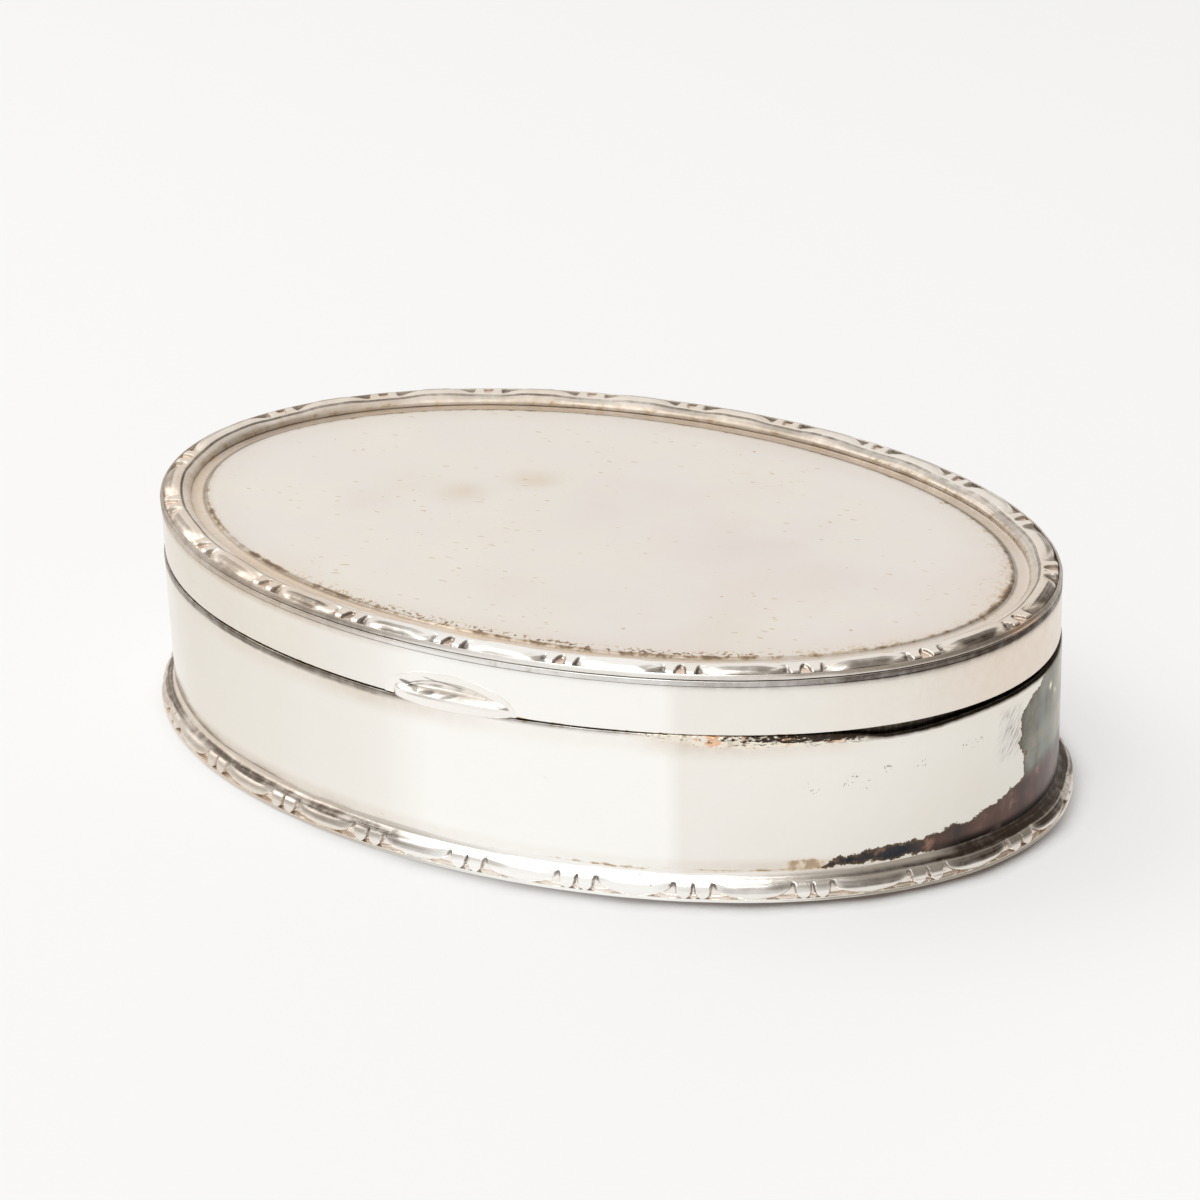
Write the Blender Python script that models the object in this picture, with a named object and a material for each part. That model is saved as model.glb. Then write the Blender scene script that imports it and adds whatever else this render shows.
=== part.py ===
"""Oval silver-plated box with a hinged lid and gallery-wire borders.

Metres, +Z up. The origin is on the table under the middle of the oval. +X runs along the
long axis, the thumbpiece is in front at -Y and the hinge is behind at +Y.
"""
import bmesh
import bpy
import numpy as np
from math import asin, cos, pi, radians, sin
from mathutils import Matrix

# Body
HALF_LENGTH = 0.0485          # outer oval of the walls, along X
HALF_WIDTH = 0.0311           # and along Y
BASE_HEIGHT = 0.01675         # table to rim
WALL_SHEET = 0.0006
FLOOR_SHEET = 0.0008
SEAT_GAP = 0.0003             # left between pieces that are soldered or rest together
WALL_SEGMENTS = 96

# Strip inside the base that stands above the rim and centres the lid
COLLAR_SHEET = 0.0005
COLLAR_DEPTH = 0.0055         # below the rim
COLLAR_STAND = 0.0018         # above the rim

# Lid
JOINT_GAP = 0.0005            # between the rim and the closed lid
LID_WALL_HEIGHT = 0.0045
LID_SHEET = 0.0006
PANEL_STEP = 0.0003           # how far the panel is pressed up above the sheet's rim
MOAT_WIDTH = 0.0017           # sunk ring between the border and the panel
MOAT_DEPTH = 0.00015
# Across the moat from the border to the panel, and how far down it lies there
MOAT_SECTION_SHARES = ((0.33, 1), (0.67, 0.5))

# Gallery wire: pairs of teeth between long lozenges
ORNAMENT_PITCH = 0.01142
PIT_FLOOR_SHARE = 0.25        # of the wire's height, left under the deepest pits
# Place from the middle of a tooth pair in half pitches, height of the ornament, swell of the crest
STATION_SHARES = (
    (0, 0.15, 0), (0.09, 0.85, 0), (0.21, 0.85, 0), (0.32, 0, 0), (0.45, 0.6, 0.2), (0.68, 0.92, 0.7),
)
LOZENGE_SHARES = (1, 1, 1)    # the same for the middle of a lozenge

# The wire round the lid lies flat on the lid's sheet
LID_BORDER_WIDTH = 0.0032
LID_BORDER_RISE = 0.00095
LID_BORDER_DEPTH = 0.00065    # how far the pits between the ornaments are sunk
LID_BORDER_SWELL = 0.00025    # how far the crest drops between the lozenges
LID_PAIR_START = 0.0031       # first tooth pair, along the wire from the -X end by the front
# Inwards in border widths, up in border rises, then the shares of the pits and of the swell
LID_SECTION_SHARES = (
    (0, 0, 0, 0), (0, 0.55, 0, 0), (0.1, 0.66, 0.7, 0.2), (0.3, 0.92, 1, 0.6), (0.52, 1, 0.35, 1),
    (0.75, 0.84, 0, 0.6), (0.92, 0.5, 0, 0.2), (1, 0.1, 0, 0), (1, 0, 0, 0),
)
LID_TOOTH_SHARE = 0.5         # where across the wire the tooth pairs are counted

# The wire round the foot stands upright against the wall
FOOT_FLARE = 0.00166
FOOT_RISE = 0.0025
FOOT_BORDER_DEPTH = 0.00065
FOOT_BORDER_SWELL = 0.0002
FOOT_PAIR_START = -0.0014
# Outwards in flares, up in rises, then the shares of the pits and of the swell
FOOT_SECTION_SHARES = (
    (1, 0, 0, 0), (1, 0.14, 0, 0), (0.98, 0.24, 0.8, 0.5), (0.92, 0.5, 1, 1), (0.7, 0.76, 0.8, 1),
    (0.42, 0.9, 0.1, 0.2),
)
FOOT_TOOTH_SHARE = 0.9

# Thumbpiece: a flattened boss with a scoop that leaves a lip below
THUMB_HALF_WIDTH = 0.0071
THUMB_REACH = 0.0015
THUMB_RISE = 0.0032
SCOOP_HALF_WIDTH = 0.0045
SCOOP_DEPTH = 0.0007
SCOOP_HALF_HEIGHT = 0.0012
SCOOP_PLACE = 0.0024          # middle of the scoop above the lid's edge
THUMB_SEGMENTS = 32

# Hinge behind: five tubes on one pin, carried by a strip on each half
KNUCKLE_RADIUS = 0.0009
KNUCKLE_NAMES = ("base_knuckle_left", "lid_knuckle_left", "base_knuckle_middle", "lid_knuckle_right",
                 "base_knuckle_right")
KNUCKLE_SEGMENTS = 16
HINGE_LENGTH = 0.026
PIN_RADIUS = 0.0004
PIN_CLEARANCE = 0.0001
PIN_OVERHANG = 0.0003
BEARER_HEIGHT = 0.002
BEARER_REACH = 0.0012         # how far the strips stand out behind the walls
BEARER_SEGMENTS = 10

OVERRUN = 0.002               # how far cutters run past what they cut
WELD_SHARE = 0.01             # of the gap between pieces, within which a plate's points are one
SMOOTH_ANGLE = radians(40)
FINE_STEPS = 3600             # steps of the table that turns distances into angles

RIM_Z = BASE_HEIGHT
LID_EDGE_Z = RIM_Z + JOINT_GAP
LID_WALL_TOP_Z = LID_EDGE_Z + LID_WALL_HEIGHT
LID_SHEET_Z = LID_WALL_TOP_Z + SEAT_GAP
LID_RIM_Z = LID_SHEET_Z + LID_SHEET
HINGE_Z = RIM_Z + JOINT_GAP / 2
HINGE_Y = HALF_WIDTH + SEAT_GAP + KNUCKLE_RADIUS


def oval_points(angles, offset):
    """Points beside the walls' oval, offset outwards along its normals."""
    along = np.cos(angles)
    across = np.sin(angles)
    slope = np.hypot(HALF_WIDTH * along, HALF_LENGTH * across)
    x = HALF_LENGTH * along + offset * HALF_WIDTH * along / slope
    y = HALF_WIDTH * across + offset * HALF_LENGTH * across / slope
    return np.column_stack((x, y))


def oval_outline(offset):
    return oval_points(np.linspace(0, 2 * pi, WALL_SEGMENTS, endpoint=False), offset)


def arc_table(offset):
    """Angles round the oval from its -X end by the front, and the distance run at each."""
    angles = np.linspace(pi, 3 * pi, FINE_STEPS + 1)
    steps = np.linalg.norm(np.diff(oval_points(angles, offset), axis=0), axis=1)
    return angles, np.concatenate(([0], np.cumsum(steps)))


def metal(name, color, roughness):
    material = bpy.data.materials.new(name)
    material.use_nodes = True
    shader = material.node_tree.nodes["Principled BSDF"]
    shader.inputs["Base Color"].default_value = (*color, 1)
    shader.inputs["Metallic"].default_value = 1
    shader.inputs["Roughness"].default_value = roughness
    return material


def place(item, collection, material=None, parent=None):
    """Link an object, give it its finish and hang it on its body without moving it."""
    collection.objects.link(item)
    if material:
        item.data.materials.append(material)
    if parent:
        item.parent = parent
        item.matrix_parent_inverse = parent.matrix_world.inverted()
    return item


def cut_plate(name, outlines, low, high):
    """A flat sheet of the first outline with the others as holes, from one height to another."""
    curve = bpy.data.curves.new(name, "CURVE")
    curve.dimensions = "2D"
    curve.fill_mode = "BOTH"
    curve.extrude = (high - low) / 2
    for outline in outlines:
        spline = curve.splines.new("POLY")
        spline.points.add(len(outline) - 1)
        for point, (x, y) in zip(spline.points, outline):
            point.co = (x, y, 0, 1)
        spline.use_cyclic_u = True
    item = bpy.data.objects.new(name, curve)
    item.location.z = (low + high) / 2
    return item


def ring_loft(name, rings, closed):
    """Skin rings of points, each a copy of the next one round the section, outside first.

    A closed section makes a hoop. An open one is capped by its first and last rings.
    """
    mesh = bpy.data.meshes.new(name)
    shape = bmesh.new()
    rows = [[shape.verts.new(point) for point in ring] for ring in rings]
    pairs = list(zip(rows, rows[1:]))
    if closed:
        pairs.append((rows[-1], rows[0]))
    for low, high in pairs:
        for index in range(len(low)):
            before = index - 1
            shape.faces.new((low[before], low[index], high[index], high[before]))
    if not closed:
        shape.faces.new(reversed(rows[0]))
        shape.faces.new(rows[-1])
    shape.to_mesh(mesh)
    shape.free()
    mesh.shade_smooth()
    mesh.set_sharp_from_angle(angle=SMOOTH_ANGLE)
    return bpy.data.objects.new(name, mesh)


def ellipsoid(name, center, sizes):
    mesh = bpy.data.meshes.new(name)
    shape = bmesh.new()
    bmesh.ops.create_uvsphere(shape, u_segments=THUMB_SEGMENTS, v_segments=THUMB_SEGMENTS // 2, radius=1,
                              matrix=Matrix.Diagonal((*sizes, 1)))
    shape.to_mesh(mesh)
    shape.free()
    mesh.shade_smooth()
    mesh.set_sharp_from_angle(angle=SMOOTH_ANGLE)
    item = bpy.data.objects.new(name, mesh)
    item.location = center
    return item


def solid_of(item, collection):
    """The mesh of a plate, welded so that it can cut."""
    mesh = bpy.data.meshes.new_from_object(item.evaluated_get(bpy.context.evaluated_depsgraph_get()))
    shape = bmesh.new()
    shape.from_mesh(mesh)
    bmesh.ops.remove_doubles(shape, verts=shape.verts, dist=SEAT_GAP * WELD_SHARE)
    shape.to_mesh(mesh)
    shape.free()
    solid = bpy.data.objects.new(item.name + "_solid", mesh)
    solid.matrix_world = item.matrix_world
    collection.objects.link(solid)
    bpy.data.objects.remove(item)
    return solid


def cut(item, cutter):
    cutter.hide_render = True
    cutter.display_type = "WIRE"
    boolean = item.modifiers.new(cutter.name, "BOOLEAN")
    boolean.operation = "DIFFERENCE"
    boolean.solver = "EXACT"
    boolean.object = cutter


def ornament_stations(tooth_offset, start):
    """Angles of the wire's stations round the oval, with each one's ornament height and swell.

    The wire is bent round from one end, and what is left over lengthens the lozenge at the seam.
    """
    angles, distances = arc_table(tooth_offset)
    length = distances[-1]
    repeats = round(length / ORNAMENT_PITCH)
    pitch = min(ORNAMENT_PITCH, length / repeats)
    mirrored = tuple((-place_share, *rest) for place_share, *rest in reversed(STATION_SHARES[1:]))
    first = ((-LOZENGE_SHARES[0], *LOZENGE_SHARES[1:]),)
    stations = np.array(first + mirrored + STATION_SHARES)
    middles = start + pitch * np.arange(repeats)
    places = (middles[:, None] + stations[:, 0] * pitch / 2).ravel()
    return (np.interp(np.mod(places, length), distances, angles),
            np.tile(stations[:, 1], repeats), np.tile(stations[:, 2], repeats))


def lid_border():
    angles, heights, swells = ornament_stations(-LID_TOOTH_SHARE * LID_BORDER_WIDTH, LID_PAIR_START)
    rings = []
    for in_share, up_share, pit_share, swell_share in LID_SECTION_SHARES:
        up = LID_BORDER_RISE * up_share - LID_BORDER_DEPTH * pit_share * (1 - heights)
        up -= LID_BORDER_SWELL * swell_share * (1 - swells) * heights
        z = LID_RIM_Z + SEAT_GAP + np.maximum(up, LID_BORDER_RISE * up_share * PIT_FLOOR_SHARE)
        rings.append(np.column_stack((oval_points(angles, -LID_BORDER_WIDTH * in_share), z)))
    return ring_loft("lid_border", rings, closed=True)


def foot_border():
    angles, heights, swells = ornament_stations(FOOT_TOOTH_SHARE * FOOT_FLARE, FOOT_PAIR_START)
    rings = []
    for out_share, up_share, pit_share, swell_share in FOOT_SECTION_SHARES:
        out = FOOT_FLARE * out_share - FOOT_BORDER_DEPTH * pit_share * (1 - heights)
        out -= FOOT_BORDER_SWELL * swell_share * (1 - swells) * heights
        rings.append(np.column_stack((oval_points(angles, out), np.full_like(angles, FOOT_RISE * up_share))))
    for z in (FOOT_RISE, 0):
        rings.append(np.column_stack((oval_points(angles, SEAT_GAP), np.full_like(angles, z))))
    return ring_loft("foot_border", rings, closed=True)


def lid_top():
    """The lid's pressed sheet, from the middle of its underside round its edge to the panel on top."""
    moat_end = LID_BORDER_WIDTH + MOAT_WIDTH
    section = [(moat_end, LID_SHEET_Z + PANEL_STEP), (LID_BORDER_WIDTH, LID_SHEET_Z), (0, LID_SHEET_Z),
               (0, LID_RIM_Z), (LID_BORDER_WIDTH, LID_RIM_Z)]
    section += [(LID_BORDER_WIDTH + MOAT_WIDTH * across_share, LID_RIM_Z - MOAT_DEPTH * down_share)
                for across_share, down_share in MOAT_SECTION_SHARES]
    section.append((moat_end, LID_RIM_Z + PANEL_STEP))
    rings = []
    for inset, z in section:
        outline = oval_outline(-inset)
        rings.append(np.column_stack((outline, np.full(len(outline), z))))
    return ring_loft("lid_top", rings, closed=False)


def thumbpiece(cutters):
    boss = ellipsoid("thumbpiece", (0, -HALF_WIDTH, LID_EDGE_Z), (THUMB_HALF_WIDTH, THUMB_REACH, THUMB_RISE))
    scoop = ellipsoid("thumb_scoop", (0, -HALF_WIDTH - SEAT_GAP - SCOOP_DEPTH, LID_EDGE_Z + SCOOP_PLACE),
                      (SCOOP_HALF_WIDTH, SCOOP_DEPTH - SEAT_GAP, SCOOP_HALF_HEIGHT))
    cutters.objects.link(scoop)
    wall = place(cut_plate("thumb_wall", [oval_outline(SEAT_GAP)], LID_EDGE_Z - THUMB_RISE - OVERRUN,
                           LID_EDGE_Z + THUMB_RISE + OVERRUN), cutters)
    corners = [(side * (THUMB_HALF_WIDTH + OVERRUN), -HALF_WIDTH + end * (THUMB_REACH + OVERRUN))
               for side, end in ((-1, -1), (1, -1), (1, 1), (-1, 1))]
    below = place(cut_plate("thumb_underside", [corners], LID_EDGE_Z - THUMB_RISE - OVERRUN, LID_EDGE_Z), cutters)
    bpy.context.view_layer.update()
    cut(boss, solid_of(wall, cutters))
    cut(boss, solid_of(below, cutters))
    cut(boss, scoop)
    return boss


def hinge_bearer(name, low, high):
    """A strip whose inner side follows the wall and whose outer side is straight."""
    half = HINGE_LENGTH / 2
    reach = asin(half / HALF_LENGTH)
    inner = oval_points(np.linspace(pi / 2 + reach, pi / 2 - reach, BEARER_SEGMENTS + 1), SEAT_GAP)
    back = HALF_WIDTH + BEARER_REACH
    return cut_plate(name, [[*inner, (inner[-1][0], back), (inner[0][0], back)]], low, high)


def circle(radius, segments):
    return [(radius * cos(2 * pi * step / segments), radius * sin(2 * pi * step / segments))
            for step in range(segments)]


def lay_along_x(item, x):
    item.rotation_euler = (0, pi / 2, 0)
    item.location = (x, HINGE_Y, HINGE_Z)
    return item


def knuckle(name, order):
    count = len(KNUCKLE_NAMES)
    length = (HINGE_LENGTH - (count - 1) * SEAT_GAP) / count
    x = (order - (count - 1) / 2) * (length + SEAT_GAP)
    rims = [circle(KNUCKLE_RADIUS, KNUCKLE_SEGMENTS), circle(PIN_RADIUS + PIN_CLEARANCE, KNUCKLE_SEGMENTS)]
    return lay_along_x(cut_plate(name, rims, -length / 2, length / 2), x)


def hinge_pin():
    mesh = bpy.data.meshes.new("hinge_pin")
    shape = bmesh.new()
    bmesh.ops.create_cone(shape, cap_ends=True, segments=KNUCKLE_SEGMENTS, radius1=PIN_RADIUS,
                          radius2=PIN_RADIUS, depth=HINGE_LENGTH + 2 * PIN_OVERHANG)
    shape.to_mesh(mesh)
    shape.free()
    mesh.shade_smooth()
    mesh.set_sharp_from_angle(angle=SMOOTH_ANGLE)
    return lay_along_x(bpy.data.objects.new("hinge_pin", mesh), 0)


def main():
    for item in list(bpy.data.objects):
        bpy.data.objects.remove(item)
    parts = bpy.data.collections.new("oval_lidded_box")
    cutters = bpy.data.collections.new("cutters")
    bpy.context.scene.collection.children.link(parts)
    bpy.context.scene.collection.children.link(cutters)

    pivot = bpy.data.objects.new("lid_pivot", None)
    pivot.location = (0, HINGE_Y, HINGE_Z)
    parts.objects.link(pivot)
    bpy.context.view_layer.update()

    collar_outset = -WALL_SHEET - SEAT_GAP
    walls = [oval_outline(0), oval_outline(-WALL_SHEET)]
    place(cut_plate("base_wall", walls, 0, BASE_HEIGHT), parts, metal("wall_plate", (0.86, 0.83, 0.79), 0.22))
    place(cut_plate("base_floor", [oval_outline(collar_outset)], 0, FLOOR_SHEET), parts,
          metal("floor_plate", (0.72, 0.69, 0.64), 0.4))
    collar = [oval_outline(collar_outset), oval_outline(collar_outset - COLLAR_SHEET)]
    place(cut_plate("base_collar", collar, RIM_Z - COLLAR_DEPTH, RIM_Z + COLLAR_STAND), parts,
          metal("collar_plate", (0.7, 0.66, 0.6), 0.38))
    place(foot_border(), parts, metal("foot_wire", (0.8, 0.77, 0.72), 0.26))

    place(cut_plate("lid_wall", walls, LID_EDGE_Z, LID_WALL_TOP_Z), parts,
          metal("lid_wall_plate", (0.87, 0.84, 0.8), 0.22), pivot)
    place(lid_top(), parts, metal("lid_plate", (0.82, 0.78, 0.74), 0.42), pivot)
    place(lid_border(), parts, metal("lid_wire", (0.82, 0.79, 0.74), 0.24), pivot)
    place(thumbpiece(cutters), parts, metal("thumb_plate", (0.86, 0.83, 0.79), 0.2), pivot)

    clear = KNUCKLE_RADIUS + SEAT_GAP
    place(hinge_bearer("base_hinge_bearer", HINGE_Z - clear - BEARER_HEIGHT, HINGE_Z - clear), parts,
          metal("base_bearer_plate", (0.78, 0.75, 0.7), 0.3))
    place(hinge_bearer("lid_hinge_bearer", HINGE_Z + clear, HINGE_Z + clear + BEARER_HEIGHT), parts,
          metal("lid_bearer_plate", (0.78, 0.75, 0.7), 0.3), pivot)
    for order, name in enumerate(KNUCKLE_NAMES):
        place(knuckle(name, order), parts, metal(name + "_tube", (0.76, 0.73, 0.68), 0.3),
              pivot if name.startswith("lid") else None)
    place(hinge_pin(), parts, metal("pin_wire", (0.6, 0.58, 0.55), 0.35))


main()
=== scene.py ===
import math
from types import SimpleNamespace

import bpy
import numpy as np
from mathutils import Matrix, Vector


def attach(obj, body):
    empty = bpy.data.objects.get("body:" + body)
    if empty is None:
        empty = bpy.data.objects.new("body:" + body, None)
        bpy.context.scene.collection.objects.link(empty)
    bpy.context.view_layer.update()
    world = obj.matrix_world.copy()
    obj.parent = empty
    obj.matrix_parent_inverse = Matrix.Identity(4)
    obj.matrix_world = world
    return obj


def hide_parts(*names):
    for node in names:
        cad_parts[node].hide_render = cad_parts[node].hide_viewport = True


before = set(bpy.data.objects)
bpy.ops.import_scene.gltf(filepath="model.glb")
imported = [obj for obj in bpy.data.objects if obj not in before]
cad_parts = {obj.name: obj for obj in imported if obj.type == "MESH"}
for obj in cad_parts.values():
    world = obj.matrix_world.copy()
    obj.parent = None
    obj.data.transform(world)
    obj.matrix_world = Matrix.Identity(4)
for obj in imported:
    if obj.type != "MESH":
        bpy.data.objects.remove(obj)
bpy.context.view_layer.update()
scene = bpy.context.scene
mm = 0.001
print("frame loaded")

# shapes are worked out in millimetres, and made metres when a mesh is filled
boxForm = {
    "halfLength": 48.5,      # the walls' oval
    "halfWidth": 31.1,
    "baseOutset": 0.13,      # the base stands this far proud of the lid
    "lidEdge": 17.26,        # underside of the closed lid
    "lidSheetBottom": 22.38,
    "sheet": 0.6,
}


def ovalPoint(angles, outset):
    # the oval (a cos t, b sin t), moved outset along its normal, which points along (b cos t, a sin t)
    along, across = np.cos(angles), np.sin(angles)
    length, width = boxForm["halfLength"], boxForm["halfWidth"]
    reach = outset / np.hypot(width * along, length * across)
    return length * along + reach * width * along, width * across + reach * length * across


def degreesRound(angles):
    # angle in degrees from -180 to 180, 0 at the +X end and -90 in front
    return (np.degrees(angles) + 180) % 360 - 180


def alongTable(degrees, table):
    # the table's value at each angle, in a straight line between its rows
    places, values = np.array(table, float).T
    return np.interp(degrees, places, values)


def ringPoints(count, outset, density=None):
    # angles round the oval from its -X end by the front, in degrees too, their distances as millimetres and as
    # shares of the whole length; the points lie at equal steps of distance, or crowd where density is high
    fine = np.linspace(math.pi, 3 * math.pi, 28801)
    x, y = ovalPoint(fine, outset)
    run = np.concatenate(([0], np.cumsum(np.hypot(np.diff(x), np.diff(y)))))
    weight = np.ones(len(run)) if density is None else density(run, run[-1])
    filled = np.concatenate(([0], np.cumsum((weight[1:] + weight[:-1]) / 2 * np.diff(run))))
    angles = np.interp(np.arange(count) * filled[-1] / count, filled, fine)
    distances = np.interp(angles, fine, run)
    return SimpleNamespace(angles=angles[:, None], degrees=degreesRound(angles)[:, None], distances=distances,
                           length=run[-1], turn=distances[:, None] / run[-1])


def smoothStep(low, high, value):
    # 0 below low, 1 above high, and 3t^2 - 2t^3 of the way t between them
    t = np.clip((value - low) / (high - low), 0, 1)
    return t * t * (3 - 2 * t)


def ripples(along, across, seed, height, waves, crossing, count=14):
    # a sum of cosines with whole wave numbers along the oval (along goes 0 to 1), random in phase and tilt
    draw = np.random.default_rng(seed)
    total = 0
    for number in range(count):
        turns = draw.integers(waves[0], waves[1] + 1)
        tilt = draw.uniform(-crossing, crossing)
        total = total + np.cos(2 * math.pi * (turns * along + draw.uniform()) + tilt * across)
    return height * total / math.sqrt(count)


def smoothProfile(corners, counts):
    # a curve through the corners of a section: a cubic between each two, with the slope of its neighbours
    corners = np.array(corners, float)
    ends = np.vstack((2 * corners[0] - corners[1], corners, 2 * corners[-1] - corners[-2]))
    pieces = []
    for index, count in enumerate(counts):
        a, b, c, d = ends[index:index + 4]
        t = np.linspace(0, 1, count, endpoint=False)[:, None]
        pieces.append(b + 0.5 * t * (c - a + t * (2 * a - 5 * b + 4 * c - d + t * (3 * (b - c) + d - a))))
    return np.vstack(pieces + [corners[-1:]])


def gridMesh(name, x, y, z, around=True, closedSection=True, poles=(), flow=None, layers=None):
    # points on a grid, joined to the next one along (first index) and across (second index)
    rows, columns = x.shape
    points = np.stack((x, y, z), axis=-1).reshape(-1, 3)
    alongCells = np.arange(rows if around else rows - 1)
    acrossCells = np.arange(columns if closedSection else columns - 1)
    i, j = [cells.ravel() for cells in np.meshgrid(alongCells, acrossCells, indexing="ij")]
    nextI, nextJ = (i + 1) % rows, (j + 1) % columns
    cellCorners = ((i, j), (nextI, j), (nextI, nextJ), (i, nextJ))
    quads = np.stack([row * columns + column for row, column in cellCorners], axis=1)
    triangles = np.empty((0, 3), int)
    for column, place in poles:                       # a ring of the grid is closed by a point in its middle
        ring = np.arange(rows) * columns + column % columns
        points = np.vstack((points, [place]))
        turn = (ring, np.roll(ring, -1)) if column else (np.roll(ring, -1), ring)
        triangles = np.vstack((triangles, np.stack((*turn, np.full(rows, len(points) - 1)), axis=1)))
    a, b, c, d = points[quads].swapaxes(0, 1)
    if (a * (np.cross(b - a, c - a) + np.cross(c - a, d - a))).sum() < 0:      # faces point outwards
        quads, triangles = quads[:, ::-1], triangles[:, ::-1]
    mesh = bpy.data.meshes.new(name)
    mesh.vertices.add(len(points))
    mesh.vertices.foreach_set("co", (points * mm).ravel())
    mesh.loops.add(quads.size + triangles.size)
    mesh.loops.foreach_set("vertex_index", np.concatenate((quads.ravel(), triangles.ravel())))
    mesh.polygons.add(len(quads) + len(triangles))
    starts = (np.arange(len(quads)) * 4, quads.size + np.arange(len(triangles)) * 3)
    mesh.polygons.foreach_set("loop_start", np.concatenate(starts))
    if flow is not None:                              # the way round and the way across, in metres
        along, lengthRound, across = flow
        uv = np.zeros((quads.size + triangles.size, 2))
        loopRows, loopColumns = np.divmod(quads, columns)
        wrapped = (loopRows == 0) & (i == rows - 1)[:, None]
        uv[:quads.size, 0] = (np.where(wrapped, lengthRound, along[loopRows]) * mm).ravel()
        uv[:quads.size, 1] = (across[loopRows, loopColumns] * mm).ravel()
        mesh.uv_layers.new(name="flow").data.foreach_set("uv", uv.ravel())
    for key, values in (layers or {}).items():        # a pole takes the mean of its ring
        grid = np.broadcast_to(values, (rows, columns))
        full = np.concatenate((grid.ravel(), [grid[:, column].mean() for column, place in poles]))
        mesh.attributes.new(key, "FLOAT", "POINT").data.foreach_set("value", full.astype(np.float32))
    mesh.update(calc_edges=True)
    mesh.validate()
    mesh.shade_smooth()
    mesh.set_sharp_from_angle(angle=math.radians(50))
    item = bpy.data.objects.new(name, mesh)
    scene.collection.objects.link(item)
    return item


def hoop(name, ring, outsets, heights, across, **layers):
    # a section of outsets and heights at each angle of the ring, joined into a closed hoop round the oval
    x, y = ovalPoint(ring.angles, outsets)
    return gridMesh(name, x, y, np.broadcast_to(heights, x.shape),
                    flow=(ring.distances, ring.length, np.broadcast_to(across, x.shape)),
                    layers={"angle": ring.degrees, "height": heights, **layers})


# the gallery wire: a pair of teeth, a pit on each side, and a long hull between two pairs
wireForm = {
    "pitch": 11.42,
    "edge": (-0.06, 0.2),    # from outside to inside, where a pit's edge slopes
}


def nearestPair(distances, length, form):
    # distance from each place on the wire to the middle of the nearest pair of teeth
    middles = form["start"] + wireForm["pitch"] * np.arange(form["repeats"])
    gaps = np.abs((distances[:, None] - middles[None, :] + length / 2) % length - length / 2)
    return gaps.min(axis=1)


def wireRing(form):
    # points crowd near the pairs of teeth; gives the distance to the nearest pair too
    def density(run, length):
        return 1 + 1.5 * smoothStep(3.4, 2.2, nearestPair(run, length, form))

    ring = ringPoints(form["points"], form["counted"], density)
    return ring, nearestPair(ring.distances, ring.length, form)[:, None]


def wireRelief(away, share, form):
    # 1 on teeth and hulls and 0 in the pits; share runs from 0 beside the plain fillet to 1 at the crest.
    # The pit between the teeth is an arch, and those beside them slope up to the ends of the hulls
    closed = np.clip(share / form["pitReach"], 0, 1)
    low = form["toothTip"] * (1 - np.clip(share / form["tipReach"], 0, 1)) ** 2
    middleHalf = np.maximum(form["betweenPit"] * (1 - closed ** form["archPower"]) ** 0.5, form["notch"]) + low
    toothOuter = form["toothOuter"] + form["toothGrowth"] * closed - low
    hullEnd = form["hullTop"] + form["sidePit"] * (1 - closed) ** form["hullPower"]
    ending = smoothStep(1.0, 0.82, share) * (share > 0) * (share < 1)
    outside, inside = wireForm["edge"]
    middlePit = smoothStep(outside, inside, middleHalf - away) * ending
    sidePit = smoothStep(outside, inside, away - toothOuter)
    sidePit = sidePit * smoothStep(outside, form["hullSlope"], hullEnd - away) * ending
    pastEnd = np.clip((away - hullEnd) / form["hullTaper"], 0, 1)
    onHull = smoothStep(0, 0.3, away - form["toothOuter"] - form["toothGrowth"]) * ending
    hull = 1 - form["hullDrop"] * (1 - pastEnd) ** 2 * onHull
    outline = 4 * np.maximum(middlePit * (1 - middlePit), sidePit * (1 - sidePit) * (away < toothOuter + 0.6))
    sunk = np.maximum(middlePit * form["middleDepth"], sidePit * form["sideDepth"])
    return (1 - sunk) * hull, {"middlePit": middlePit, "sidePit": sidePit, "outline": outline,
                               "hull": onHull * smoothStep(0, 0.8, away - hullEnd)}


lidBorderForm = {
    "points": 2150, "start": 3.1, "repeats": 21, "counted": -1.6,      # the outset at which repeats are counted
    "betweenPit": 0.58, "notch": 0.0, "toothOuter": 1.36, "toothGrowth": 0.12, "toothTip": 0.05,
    "hullTop": 1.75, "sidePit": 2.1, "archPower": 2.0, "pitReach": 0.95, "hullPower": 1.2, "hullSlope": 1.4,
    "hullTaper": 1.8, "hullDrop": 0.25, "ornament": (0.34, 1.95), "pitLevel": 23.16, "swell": 0.2,
    "middleDepth": 0.6, "sideDepth": 0.9, "tipReach": 0.2,
    # inset and height of the section, from under its outer edge over the crest to its inner foot
    "section": [(1.2, 22.96), (0.5, 22.97), (0.22, 22.99), (0.06, 23.03), (-0.03, 23.1), (-0.03, 23.19),
                (0.05, 23.33), (0.13, 23.46), (0.2, 23.53), (0.28, 23.52), (0.34, 23.46), (0.42, 23.55), (0.56, 23.69),
                (0.78, 23.81), (1.1, 23.88), (1.5, 23.91), (1.9, 23.89), (2.14, 23.82), (2.3, 23.7), (2.5, 23.62),
                (2.75, 23.5), (3.0, 23.33), (3.18, 23.1), (3.2, 22.9), (2.4, 22.93)],
    "steps": [*[1] * 10, 3, 4, 5, 5, 5, 4, 3, 2, 2, 2, 2, 2, 1, 1], "under": 10,
}


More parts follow.
